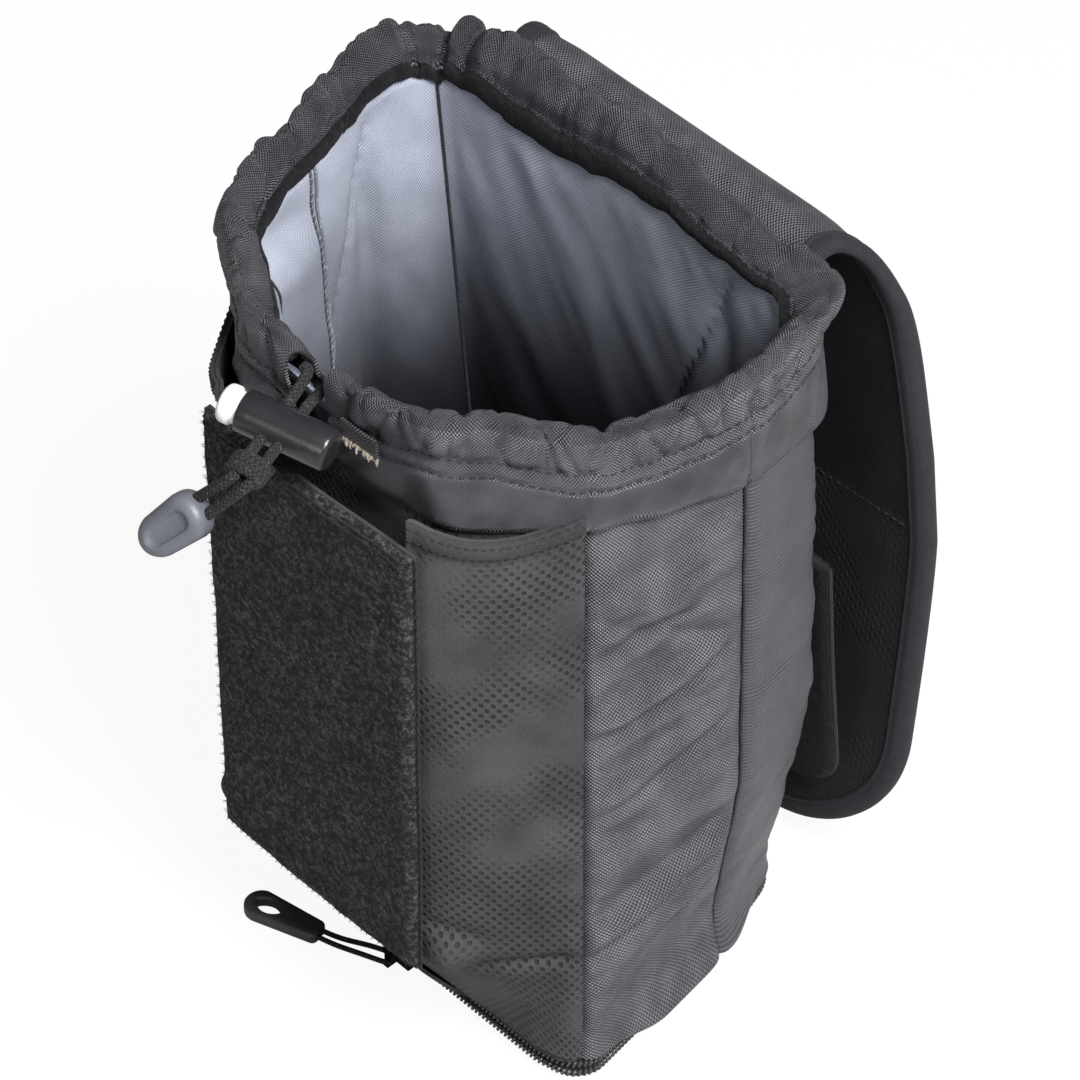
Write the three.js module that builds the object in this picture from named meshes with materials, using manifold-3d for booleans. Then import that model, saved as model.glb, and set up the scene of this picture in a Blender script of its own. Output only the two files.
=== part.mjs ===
// A soft camera-lens pouch with a drawstring mouth, a fold-over lid, a front pocket faced
// with loop fastener, a belt flap and a zipped pop-down base.
// Millimetres, +Z up, front towards -Y. The origin is on the underside of the base,
// in the mirror plane of the pouch.
import * as THREE from 'three';
import { mergeVertices } from 'three/addons/utils/BufferGeometryUtils.js';
import Module from 'manifold-3d';

const wasm = await Module();
wasm.setup();

// Pouch envelope: half width, and reach to the front and back of the origin, at three heights
const rimHeight = 247;          // floor to the top edge of the mouth at the back left
const footHeight = 22;          // the walls are upright below this height
const footHalfWidth = 71;
const footFront = 54;
const footBack = 44;
const waistHeight = 85;
const waistHalfWidth = 76;
const waistFront = 61;
const waistBack = 44;
const mouthDrop = 12;           // from the rim down to the mouth's outline
const mouthHalfWidth = 77;
const mouthFront = 72;
const mouthBack = 31;

// Plan outline at each height, with its corners as [share of half width, share of depth
// from the front].
const levels = [
  {
    z: footHeight,
    halfWidth: footHalfWidth,
    frontY: -footFront,
    backY: footBack,
    shares: { front: [0.8, 0], cheek: [1, 0.03], flank: [0.88, 0.64], rear: [0.74, 1] },
  },
  {
    z: waistHeight,
    halfWidth: waistHalfWidth,
    frontY: -waistFront,
    backY: waistBack,
    shares: { front: [0.54, 0], cheek: [0.86, 0.13], flank: [1, 0.6], rear: [0.93, 1] },
  },
  {
    z: rimHeight - mouthDrop,
    halfWidth: mouthHalfWidth,
    frontY: -mouthFront,
    backY: mouthBack,
    shares: { front: [0.44, 0], cheek: [0.77, 0.27], flank: [1, 0.65], rear: [0.92, 1] },
  },
];
const [lowLevel, , topLevel] = levels;
const planHeight = topLevel.z;
const cornerRadius = { front: 12, cheek: 9, flank: 24, rear: 16 };
const leastRadius = 3;
const wallRowShares = [0.42, 0.87];   // extra rows of points between the waist and the shell's top
const arcHalfSteps = 2;         // steps from a corner's tangent point to its middle

// Fabric and padding
const seamGap = 0.3;            // clearance between neighbouring layers and panels
const shellThickness = 1.2;
const tapeThickness = 0.6;
const skirtThickness = 0.8;
const foamThickness = 3.2;
const liningThickness = 0.8;
const shellBottom = 10.4;
const shellDrop = 41;           // shell's top edge, below the rim
const shellTop = rimHeight - shellDrop;
const foamRise = 6;             // how far the foam runs up inside the collar
const foamTop = shellTop + foamRise;
const wallRowHeights = [
  footHeight,
  waistHeight,
  ...wallRowShares.map((share) => waistHeight + (shellTop - waistHeight) * share),
];
const liningDrop = 21;          // lining's top edge, below the rim's crown

// Drawstring collar
const collarOverhang = 1;       // how far the collar stands outside the shell
const collarWall = 1.2;
const collarWidth = 10.8;
const collarShoulder = 3.5;     // drop from the crown to the shoulders
const collarCrown = 3.2;        // rounding of the crown, across the wall
const collarFlare = 8;          // how far the crown leans out on the left
const flareFrom = 56;
const flareTo = 78;
const innerFlareShare = 0.7;
const collarSkirt = 22;         // depth of the inner facing below the crown
const notchX = -8.4;            // the cord comes out a little left of the middle
const mouthNotch = 6.8;         // half width of the gap where the cord comes out
const rightDrop = 15;           // how much lower the rim is at the front right
const dropFrom = 40;            // the rim's fall runs diagonally, between these two shares
const dropSpan = 80;
const frontDip = 12;            // how much lower again the rim is at the notch
const frontDipReach = 32;
const leftDip = 12;             // how much lower the rim's left side is at the front
const leftDipFrom = 20;         // that fall starts and ends at these distances to the left
const leftDipTo = 60;
const leftDipLength = 70;       // and runs this far forward from the back
const peakRise = 4;             // how much the rim rises to the rear right corner
const peakReach = 16;
const cordDiameter = 3;

// Front pocket
const pocketFaceY = -80;        // outer face of the loop panel's backing
const pocketHalfWidth = 38;
const pocketDrop = 12;          // loop panel's top edge, below the shell's
const pocketTop = shellTop - pocketDrop;
const pocketFoot = 46;
const loopPile = 2.2;
const pocketFabric = 1.2;
const wingSag = 5;              // dip of the wing's top edge
const wingStartX = 34;          // the wings and the foot start behind the loop panel
const hemHeight = 5;
const hemThickness = 0.8;
const wingClearance = 1.2;      // between a wing and the shell behind it
const wingRise = 8.5;           // how much higher the wing's ends are than the loop panel

// Zip round the base
const coilHeight = 2.4;
const coilThickness = 2.4;
const coilProud = 1.2;          // how far the coils stand outside the shell
const lowerCoilBottom = 2.6;
const coilSplit = 1.4;
const upperTapeTop = 20;
const lowerTapeBottom = 0.6;
const zipStart = 9.5;           // right-hand end of the gap in the lower coil
const zipGapWidth = 13;

// Zip slider and its pull
const sliderLength = 10;
const sliderPlate = 1.4;
const sliderClearance = 0.4;
const sliderFlange = 0.8;
const sliderPost = 3;
const sliderPostHeight = 0.8;
const sliderParkedX = 3;
const bailReach = 4;
const bailPinDiameter = 1.6;
const bailEar = 1;
const bailHalfHeight = 2.2;
const pullCordDiameter = 1.6;
const pullCordLength = 22;
const gripLength = 25;
const gripRootWidth = 7;
const gripTipWidth = 10;
const gripThickness = 4;
const gripWindowLength = 8;
const gripWindowWidth = 4.5;
const gripWindowEdge = 3.5;
const gripSocketDepth = 4;
const pullTurnDegrees = 195;    // heading of the pull, anticlockwise from +X

// Base
const baseFabric = 1.5;
const baseFoam = 4;
const gussetTop = 19;           // top of the folded expansion gusset behind the zip

// Lid: three links that hang behind the pouch, each bounded by a bound edge
const lidPivotReach = 12;       // first fold line, behind the mouth and below the rim
const lidPivotDrop = 8.5;
const lidPivotY = mouthBack + lidPivotReach;
const lidPivotZ = rimHeight - lidPivotDrop;
const lidSlopes = { root: -45, top: -89, front: -92.5 };   // degrees, backwards from level
const lidLengths = { root: 34, top: 101, front: 108 };
const lidHalfWidth = 78.5;
const lidRootWidthShares = [0.713, 0.79, 0.828];
const lidTopWidthShares = [0.828, 0.879, 0.943, 0.987, 1];
const lidCornerRadius = 50;
const lidCornerSteps = 6;
const lidLining = 0.8;
const lidFoam = 2.6;
const lidOuter = 1;
const lidBinding = 7;
const lidBindingProud = 0.4;
const lidJointGap = 0.4;        // from a fold line to the fabric on either side
const lidRootGap = 1.1;         // from the first fold line to the root
const lidDoubling = 34;         // degrees that the top folds in towards the root
const lidTabInset = 28.5;
const lidTabHalfWidth = lidHalfWidth - lidTabInset;
const lidTabDrop = 16.5;        // top of the tab's straight part, below the first fold line
const lidTabBend = { reach: 5.5, drop: 4 };   // its outer face where it bends, from that line
const lidTabEndDrop = 0.9;
const hookLength = 26;
const hookWidth = 60;
const hookThickness = 1.4;
const hookFromEnd = 16;

// Belt flap on the back
const beltFlapHalfWidth = 66;
const beltFlapDrop = 116;       // from the rim down to the flap's seam
const beltFlapTop = rimHeight - beltFlapDrop;
const beltFlapGap = 0.6;        // between the flap's seam and the back panel
const beltFlapLength = 95;
const beltFlapWeb = 1.2;
const beltFlapPile = 1.4;
const beltFlapLeanDegrees = 6.5;
const beltFlapCornerRadius = 18;

// Cord tails, lock, knot and end, each placed along the tails
const lockOffset = { right: 6.6, front: 4, drop: 35.4 };   // from the notch, pocket and rim
const lockCentre = [
  notchX + lockOffset.right,
  pocketFaceY - lockOffset.front,
  rimHeight - lockOffset.drop,
];
const tailDirection = [0.324, -0.942, -0.086];
const lockDirection = [0.941, 0.292, -0.154];
const tailSpread = 2.3;         // half the distance between the two strands
const knotDistance = 15.1;
const capStart = [-9, -10, -6.5];
const capDirection = [-15, -12, -10];
const lockDiameter = 11.2;
const lockLength = 25;
const lockBore = 9.4;
const lockFloor = 1.5;
const lockChamfer = 1.2;
const plungerDiameter = 8.6;
const plungerProud = 5.5;       // how far the plunger stands out when released
const plungerPress = 4;
const plungerWall = 1.2;
const strandShift = 2;          // strands pass this far towards the plunger from mid barrel
const springDiameter = 6.4;
const springWire = 0.7;
const springTurns = 3;
const springSteps = 8;
const knotDiameter = 10.4;
const knotLength = 8;
const knotLumpShare = 0.45;     // thickness of one turn of the knot over its diameter
const capLength = 21;
const capWidth = 12;
const capThickness = 8.8;
const capSocket = 6;
const capGroove = 0.8;
const capGrooveLength = 11.5;
const capGrooveWidth = 4.6;
const capEdge = 2;
const capFacing = [0.522, -0.513, 0.681];
const keeperLength = 13;
const keeperHeight = 9;
const keeperThickness = 0.9;
const keeperOffset = { right: 21.4, front: 2, drop: 33 };   // from the notch, mouth and rim
const keeperCentre = [
  notchX + keeperOffset.right,
  -mouthFront - keeperOffset.front,
  rimHeight - keeperOffset.drop,
];
const runningGap = 0.4;         // round moving pieces and the cord

// Mesh fineness
const cordSides = 8;
const cordSteps = 22;
const loopSteps = 60;
const roundSteps = 20;
const overrun = 2;              // how far a cutter runs past a face

const degrees = Math.PI / 180;
const lerp = THREE.MathUtils.lerp;

const colours = {
  nylon: { color: 0x34343b, roughness: 0.7, metalness: 0 },
  textured: { color: 0x2b2b2d, roughness: 0.75, metalness: 0 },
  collar: { color: 0x28282d, roughness: 0.75, metalness: 0 },
  lining: { color: 0x93a3b6, roughness: 0.6, metalness: 0 },
  loop: { color: 0x1d1c1c, roughness: 0.95, metalness: 0 },
  hook: { color: 0x18181a, roughness: 0.9, metalness: 0 },
  foam: { color: 0x55565a, roughness: 0.9, metalness: 0 },
  tape: { color: 0x1b1b1d, roughness: 0.8, metalness: 0 },
  coil: { color: 0x3a3b38, roughness: 0.5, metalness: 0 },
  cord: { color: 0x232324, roughness: 0.8, metalness: 0 },
  barrel: { color: 0x1c1c1e, roughness: 0.4, metalness: 0 },
  plunger: { color: 0xe9e6e4, roughness: 0.4, metalness: 0 },
  cap: { color: 0x4b4d55, roughness: 0.45, metalness: 0 },
  grip: { color: 0x3b3c40, roughness: 0.5, metalness: 0 },
  slider: { color: 0x2a2a2c, roughness: 0.35, metalness: 0.8 },
  steel: { color: 0xb9babd, roughness: 0.3, metalness: 1 },
};

const pouch = new THREE.Group();

function add(name, geometry, colour) {
  const mesh = new THREE.Mesh(geometry, new THREE.MeshStandardMaterial(colours[colour]));
  mesh.name = name;
  pouch.add(mesh);
  return mesh;
}

// Six times the signed volume that a mesh encloses.
function signedVolume(geometry) {
  const p = geometry.getAttribute('position');
  const index = geometry.index.array;
  const a = new THREE.Vector3();
  const b = new THREE.Vector3();
  const c = new THREE.Vector3();
  let total = 0;
  for (let i = 0; i < index.length; i += 3) {
    a.fromBufferAttribute(p, index[i]);
    b.fromBufferAttribute(p, index[i + 1]);
    c.fromBufferAttribute(p, index[i + 2]);
    total += a.dot(b.cross(c));
  }
  return total;
}

// A mesh from points and triangles, turned so that its faces point out.
function meshOf(points, index) {
  const geometry = new THREE.BufferGeometry();
  geometry.setAttribute('position', new THREE.Float32BufferAttribute(points.flat(), 3));
  geometry.setIndex(index);
  if (signedVolume(geometry) < 0) {
    for (let i = 0; i < index.length; i += 3) {
      [index[i + 1], index[i + 2]] = [index[i + 2], index[i + 1]];
    }
    geometry.setIndex(index);
  }
  return geometry;
}

// The closed solid between an outer and an inner grid of points, rows by columns.
// A ring joins its last column to its first.
function sheetSolid(outer, inner, ring = false) {
  const rows = outer.length;
  const columns = outer[0].length;
  const at = (side, row, column) => (side * rows + row) * columns + (column % columns);
  const index = [];
  const quad = (a, b, c, d) => index.push(a, b, c, a, c, d);
  const spans = ring ? columns : columns - 1;
  for (let c = 0; c < spans; c++) {
    for (let r = 0; r < rows - 1; r++) {
      quad(at(0, r, c), at(0, r, c + 1), at(0, r + 1, c + 1), at(0, r + 1, c));
      quad(at(1, r, c), at(1, r + 1, c), at(1, r + 1, c + 1), at(1, r, c + 1));
    }
    quad(at(0, 0, c), at(1, 0, c), at(1, 0, c + 1), at(0, 0, c + 1));
    quad(at(0, rows - 1, c), at(0, rows - 1, c + 1), at(1, rows - 1, c + 1), at(1, rows - 1, c));
  }
  if (!ring) {
    for (let r = 0; r < rows - 1; r++) {
      quad(at(0, r, 0), at(0, r + 1, 0), at(1, r + 1, 0), at(1, r, 0));
      quad(at(0, r, spans), at(1, r, spans), at(1, r + 1, spans), at(0, r + 1, spans));
    }
  }
  return meshOf([...outer.flat(), ...inner.flat()], index);
}

// The closed solid swept through a list of sections, each a loop of points.
function sweptSolid(sections, flatSection) {
  const count = sections[0].length;
  const index = [];
  for (let s = 0; s < sections.length - 1; s++) {
    for (let i = 0; i < count; i++) {
      const next = (i + 1) % count;
      const a = s * count;
      const b = a + count;
      index.push(a + i, a + next, b + next, a + i, b + next, b + i);
    }
  }
  const last = (sections.length - 1) * count;
  const cap = THREE.ShapeUtils.triangulateShape(flatSection.map(([u, v]) => new THREE.Vector2(u, v)), []);
  const turned = THREE.ShapeUtils.area(flatSection.map(([x, y]) => ({ x, y }))) > 0;
  for (const [a, b, c] of cap) {
    index.push(...(turned ? [a, c, b] : [a, b, c]));
    index.push(...(turned ? [last + a, last + b, last + c] : [last + a, last + c, last + b]));
  }
  return meshOf(sections.flat(), index);
}

// A manifold solid from a closed three.js geometry, and back.
function solidOf(geometry, matrix) {
  const plain = geometry.clone();
  plain.deleteAttribute('normal');
  plain.deleteAttribute('uv');
  if (matrix) plain.applyMatrix4(matrix);
  const merged = mergeVertices(plain);
  return new wasm.Manifold(new wasm.Mesh({
    numProp: 3,
    vertProperties: merged.getAttribute('position').array,
    triVerts: new Uint32Array(merged.index.array),
  }));
}

function geometryOf(solid) {
  const mesh = solid.getMesh();
  const geometry = new THREE.BufferGeometry();
  geometry.setAttribute('position', new THREE.BufferAttribute(mesh.vertProperties, 3));
  geometry.setIndex(new THREE.BufferAttribute(mesh.triVerts, 1));
  return geometry;
}

function box(low, high) {
  const size = high.map((v, i) => v - low[i]);
  const centre = high.map((v, i) => (v + low[i]) / 2);
  return new THREE.BoxGeometry(...size).translate(...centre);
}

function tube(points, diameter, steps, sides = cordSides) {
  const section = new THREE.Shape();
  for (let i = 0; i < sides; i++) {
    const angle = (i / sides) * 2 * Math.PI;
    const place = [Math.cos(angle) * diameter / 2, Math.sin(angle) * diameter / 2];
    if (i) section.lineTo(...place);
    else section.moveTo(...place);
  }
  const path = new THREE.CatmullRomCurve3(points.map((p) => new THREE.Vector3(...p)));
  return new THREE.ExtrudeGeometry(section, { steps, extrudePath: path, bevelEnabled: false });
}

// Plan corners of the shell at a height, anticlockwise from the right-hand front corner.
function planCorners(z) {
  const upper = z > levels[1].z ? 2 : 1;
  const low = levels[upper - 1];
  const high = levels[upper];
  const share = THREE.MathUtils.clamp((z - low.z) / (high.z - low.z), 0, 1);
  const place = (level, kind) => {
    const [across, depth] = level.shares[kind];
    return [across * level.halfWidth, lerp(level.frontY, level.backY, depth)];
  };
  const right = Object.keys(low.shares).map((kind) => {
    const [lowX, lowY] = place(low, kind);
    const [highX, highY] = place(high, kind);
    return { kind, x: lerp(lowX, highX, share), y: lerp(lowY, highY, share) };
  });
  const left = right.map((corner) => ({ ...corner, x: -corner.x })).reverse();
  return [...right, ...left];
}

// The rounded plan outline at a height, drawn in by an inset. Every corner gives one arc,
// and the arc's middle point lies on the seam between two panels.
function plan(z, inset) {
  const corners = planCorners(z);
  const edges = corners.map((a, i) => {
    const b = corners[(i + 1) % corners.length];
    const length = Math.hypot(b.x - a.x, b.y - a.y);
    return { x: a.x, y: a.y, dx: (b.x - a.x) / length, dy: (b.y - a.y) / length };
  });
  const points = [];
  corners.forEach((corner, i) => {
    const before = edges[(i + corners.length - 1) % corners.length];
    const after = edges[i];
    const from = Math.atan2(-before.dx, before.dy);
    let turn = Math.atan2(-after.dx, after.dy) - from;
    if (turn < 0) turn += 2 * Math.PI;
    const radius = Math.max(cornerRadius[corner.kind] - inset, leastRadius);
    const reach = (inset + radius) / Math.cos(turn / 2);
    const middle = from + turn / 2;
    const centreX = corner.x - Math.cos(middle) * reach;
    const centreY = corner.y - Math.sin(middle) * reach;
    for (let s = 0; s <= 2 * arcHalfSteps; s++) {
      const angle = from + turn * s / (2 * arcHalfSteps);
      points.push([centreX + Math.cos(angle) * radius, centreY + Math.sin(angle) * radius]);
    }
  });
  return points;
}

const cornerKinds = Object.keys(lowLevel.shares);
const cornerCount = 2 * cornerKinds.length;
const seamIndex = (corner) => corner * (2 * arcHalfSteps + 1) + arcHalfSteps;

// Part of the outline, from one corner's seam to another's, ends pulled in by half a seam gap.
function planBetween(z, inset, from, to) {
  const loop = plan(z, inset);
  const last = to > from ? seamIndex(to) : seamIndex(to + cornerCount);
  const stretch = [];
  for (let i = seamIndex(from); i <= last; i++) stretch.push([...loop[i % loop.length]]);
  const pull = (end, next) => {
    const length = Math.hypot(next[0] - end[0], next[1] - end[1]);
    end[0] += (next[0] - end[0]) * seamGap / 2 / length;
    end[1] += (next[1] - end[1]) * seamGap / 2 / length;
  };
  pull(stretch[0], stretch[1]);
  pull(stretch.at(-1), stretch.at(-2));
  return stretch;
}

// Heights at which a wall gets a row of points.
function wallRows(bottom, top) {
  return [bottom, ...wallRowHeights.filter((z) => z > bottom && z < top), top];
}

function wallPanel({ from, to, bottom, top, inset, thickness }) {
  const rows = wallRows(bottom, top);
  const grid = (depth) => rows.map((z) => planBetween(z, depth, from, to).map(([x, y]) => [x, y, z]));
  return sheetSolid(grid(inset), grid(inset + thickness));
}

// A wall panel whose top edge stays a set drop below the rim's crown.
function crownedPanel({ from, to, bottom, drop, inset, thickness }) {
  const lowest = rimHeight - rightDrop - frontDip - drop;
  const rows = wallRows(bottom, lowest).slice(0, -1);
  const edge = planBetween(planHeight, inset, from, to).map(([x, y]) => crownHeight(x, y) - drop);
  const grid = (depth) => [
    ...rows.map((z) => planBetween(z, depth, from, to).map(([x, y]) => [x, y, z])),
    edge.map((z, i) => [...planBetween(z, depth, from, to)[i], z]),
  ];
  return sheetSolid(grid(inset), grid(inset + thickness));
}

function wallRing({ bottom, top, inset, thickness }) {
  const rows = wallRows(bottom, top);
  const grid = (depth) => rows.map((z) => plan(z, depth).map(([x, y]) => [x, y, z]));
  return sheetSolid(grid(inset), grid(inset + thickness), true);
}

// A flat plate in the shape of the low plan outline.
function basePlate(bottom, thickness, inset) {
  const shape = new THREE.Shape(plan(0, inset).map(([x, y]) => new THREE.Vector2(x, y)));
  return new THREE.ExtrudeGeometry(shape, { depth: thickness, bevelEnabled: false }).translate(0, 0, bottom);
}

const corner = Object.fromEntries([
  'frontRight', 'cheekRight', 'flankRight', 'rearRight', 'rearLeft', 'flankLeft', 'cheekLeft',
].map((name, i) => [name, i]));
const tapeInset = shellThickness + seamGap;
const skirtInset = tapeInset + tapeThickness + seamGap;
const foamInset = skirtInset + skirtThickness + seamGap;
const liningInset = foamInset + foamThickness + seamGap;
const lowerCoilTop = lowerCoilBottom + coilHeight;
const upperCoilBottom = lowerCoilTop + coilSplit;
const upperCoilTop = upperCoilBottom + coilHeight;
const baseLiningBottom = baseFabric + seamGap + baseFoam + seamGap;
const baseTop = baseLiningBottom + liningThickness;

// Outer shell, foam and lining, panel by panel
function addWalls() {
  const shell = [
    ['front_panel', corner.cheekLeft, corner.cheekRight, 'textured'],
    ['side_panel_right', corner.cheekRight, corner.flankRight, 'nylon'],
    ['rear_gusset_right', corner.flankRight, corner.rearRight, 'nylon'],
    ['back_panel', corner.rearRight, corner.rearLeft, 'nylon'],
    ['rear_gusset_left', corner.rearLeft, corner.flankLeft, 'nylon'],
    ['side_panel_left', corner.flankLeft, corner.cheekLeft, 'nylon'],
  ];
  for (const [name, from, to, colour] of shell) {
    const size = { bottom: shellBottom, top: shellTop, inset: 0, thickness: shellThickness };
    add(name, wallPanel({ from, to, ...size }), colour);
  }
  const padding = [
    ['front', corner.cheekLeft, corner.cheekRight],
    ['right', corner.cheekRight, corner.rearRight],
    ['back', corner.rearRight, corner.rearLeft],
    ['left', corner.rearLeft, corner.cheekLeft],
  ];
  const foam = { bottom: shellBottom, top: foamTop, inset: foamInset, thickness: foamThickness };
  const lining = {
    bottom: baseTop + seamGap,
    drop: liningDrop,
    inset: liningInset,
    thickness: liningThickness,
  };
  for (const [side, from, to] of padding) {
    add(`foam_${side}`, wallPanel({ from, to, ...foam }), 'foam');
    add(`lining_${side}`, crownedPanel({ from, to, ...lining }), 'lining');
  }
}

// Height of the rim's crown over a point of the plan: it stands highest at the back left,
// falls along the left side to the front notch, and peaks again at the rear right corner.
function crownHeight(x, y) {
  const rise = THREE.MathUtils.smoothstep((y - x) * Math.SQRT1_2 + dropFrom, 0, dropSpan);
  const front = y < 0 ? Math.exp(-(((x - notchX) / frontDipReach) ** 2)) : 0;
  const left = THREE.MathUtils.smoothstep(-x, leftDipFrom, leftDipTo)
    * THREE.MathUtils.smoothstep(mouthBack - y, 0, leftDipLength);
  const peak = planCorners(planHeight)[corner.rearRight];
  const near = Math.exp(-(((x - peak.x) ** 2 + (y - peak.y) ** 2) / peakReach ** 2));
  return rimHeight - rightDrop * (1 - rise) - frontDip * front - leftDip * left + peakRise * near;
}

// How far the crown leans out over a point of the plan.
function flareAt(x, y) {
  return collarFlare * THREE.MathUtils.smoothstep(y / 10 - x, flareFrom, flareTo);
}

// Collar outline at a height, from the right of the notch round the back to its left, as
// plan points with the direction that points into the pouch.
function collarStations(z) {
  const loop = plan(z, 0);
  const frontY = loop[0][1];
  const longSides = [seamIndex(0) + arcHalfSteps, seamIndex(3) + arcHalfSteps];
  const shares = [0.25, 0.5, 0.75];
  const stations = [[notchX + mouthNotch, frontY]];
  loop.forEach((point, i) => {
    stations.push(point);
    const next = loop[(i + 1) % loop.length];
    if (!longSides.includes(i) || i === loop.length - 1) return;
    for (const s of shares) stations.push([lerp(point[0], next[0], s), lerp(point[1], next[1], s)]);
  });
  stations.push([notchX - mouthNotch, frontY]);
  return stations.map((point, i) => {
    const a = stations[Math.max(i - 1, 0)];
    const b = stations[Math.min(i + 1, stations.length - 1)];
    const length = Math.hypot(b[0] - a[0], b[1] - a[1]);
    return { x: point[0], y: point[1], inX: -(b[1] - a[1]) / length, inY: (b[0] - a[0]) / length };
  });
}

// The collar: fabric folded over the drawcord, an upturned U in section, open at the notch.
function addCollar() {
  const crown = collarCrown;
  const outside = -collarOverhang;
  const inside = outside + collarWidth;
  const high = collarStations(rimHeight);
  const low = collarStations(shellTop);
  const sections = high.map((station, i) => {
    const top = crownHeight(station.x, station.y);
    const lean = flareAt(station.x, station.y);
    const over = outside - lean;
    const under = inside - lean * innerFlareShare;
    const profile = [
      [outside, shellTop + seamGap],
      [over, top - collarShoulder],
      [over + crown, top],
      [under - crown, top],
      [under, top - collarShoulder],
      [inside, top - collarSkirt],
      [inside - collarWall, top - collarSkirt],
      [under - collarWall, top - collarShoulder - collarWall / 2],
      [under - crown, top - collarWall],
      [over + crown, top - collarWall],
      [over + collarWall, top - collarShoulder - collarWall / 2],
      [outside + collarWall, shellTop + seamGap],
    ];
    return profile.map(([depth, z]) => {
      const share = THREE.MathUtils.clamp((planHeight - z) / (planHeight - shellTop), 0, 1);
      const x = lerp(station.x + station.inX * depth, low[i].x + low[i].inX * depth, share);
      const y = lerp(station.y + station.inY * depth, low[i].y + low[i].inY * depth, share);
      return [x, y, z];
    });
  });
  const flat = sections[0].map(([, y, z]) => [y, z]);
  add('drawstring_collar', sweptSolid(sections, flat), 'collar');
}

// Centre of the drawcord's channel, inwards from the wall and down from the crown
const channelDepth = collarWidth / 2 - collarOverhang;
const channelY = topLevel.frontY + channelDepth;
const collarDrop = collarWall + cordDiameter;

// The part of the drawcord that runs inside the collar.
function addDrawcordLoop() {
  const route = collarStations(rimHeight).map(({ x, y, inX, inY }) => {
    const depth = channelDepth - flareAt(x, y);
    return [x + inX * depth, y + inY * depth, crownHeight(x, y) - collarDrop];
  });
  add('drawcord_loop', tube(route, cordDiameter, loopSteps), 'cord');
}

// A plan point moved outwards, square to the cheek, until it clears the shell.
function clearOf(z, [x, y], clearance) {
  const outward = Math.SQRT1_2;
  const loop = plan(z, -clearance);
  let shift = 0;
  loop.forEach((a, i) => {
    const b = loop[(i + 1) % loop.length];
    const alongX = b[0] - a[0];
    const alongY = b[1] - a[1];
    const det = outward * (alongY + alongX);
    const distance = ((a[0] - x) * alongY - (a[1] - y) * alongX) / det;
    const share = (-(a[0] - x) * outward - (a[1] - y) * outward) / det;
    if (share >= 0 && share <= 1 && distance > shift) shift = distance;
  });
  return [x + outward * shift, y - outward * shift];
}

// Plan place of the pocket wing between the loop panel's edge and the cheek seam.
function wingPoint(z, share, side, depth) {
  const seam = plan(z, depth - wingClearance - pocketFabric)[seamIndex(corner.cheekRight)];
  const tuck = THREE.MathUtils.clamp((pocketFoot - z) / (pocketFoot - shellBottom), 0, 1);
  const startY = pocketFaceY + pocketFabric + seamGap;
  const edgeY = lerp(startY, lowLevel.frontY - pocketFabric - wingClearance, tuck) + depth;
  const straight = [lerp(wingStartX, seam[0], share), lerp(edgeY, seam[1], share)];
  const [x, y] = clearOf(z, straight, wingClearance + pocketFabric - depth);
  return [side * x, y];
}

// Front pocket: the loop-faced panel, the two stretch wings with hems, and the tucked foot
function addPocket() {
  const backY = pocketFaceY + pocketFabric;
  const half = pocketHalfWidth;
  add('pocket_face', box([-half, pocketFaceY, pocketFoot], [half, backY, pocketTop]), 'textured');
  const pileY = pocketFaceY - seamGap;
  add('loop_panel', box([-half, pileY - loopPile, pocketFoot], [half, pileY, pocketTop]), 'loop');

  const columns = [0, 0.2, 0.4, 0.6, 0.8, 1];
  const hemColumns = [0.24, 0.4, 0.6, 0.8, 1];
  const topOf = (share) => pocketTop + wingRise - wingSag * Math.sin(Math.PI * share);
  const middles = [(shellBottom + pocketFoot) / 2, pocketFoot, (pocketFoot + pocketTop) / 2];
  const rows = [shellBottom + seamGap, ...middles];
  for (const [side, label] of [[1, 'right'], [-1, 'left']]) {
    const line = (share, z, depth) => [...wingPoint(z, share, side, depth), z];
    const grid = (depth) => [
      ...rows.map((z) => columns.map((share) => line(share, z, depth))),
      columns.map((share) => line(share, topOf(share), depth)),
    ];
    add(`pocket_wing_${label}`, sheetSolid(grid(0), grid(pocketFabric)), 'textured');
    const hemGrid = (depth) => [hemHeight, 0].map((drop) => (
      hemColumns.map((share) => line(share, topOf(share) - drop, depth))
    ));
    add(`pocket_hem_${label}`, sheetSolid(hemGrid(-seamGap - hemThickness), hemGrid(-seamGap)), 'textured');
  }

  const footRows = [0, 0.5, 1];
  const footZ = (share) => lerp(pocketFoot - seamGap, shellBottom + seamGap, share);
  const footY = (share) => lerp(pocketFaceY, lowLevel.frontY - pocketFabric - wingClearance, share);
  const footHalf = wingStartX - seamGap;
  const footGrid = (depth) => footRows.map((share) => [-footHalf, 0, footHalf].map((x) => (
    [x, footY(share) + depth, footZ(share)]
  )));
  add('pocket_foot', sheetSolid(footGrid(0), footGrid(pocketFabric)), 'textured');
}

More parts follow.
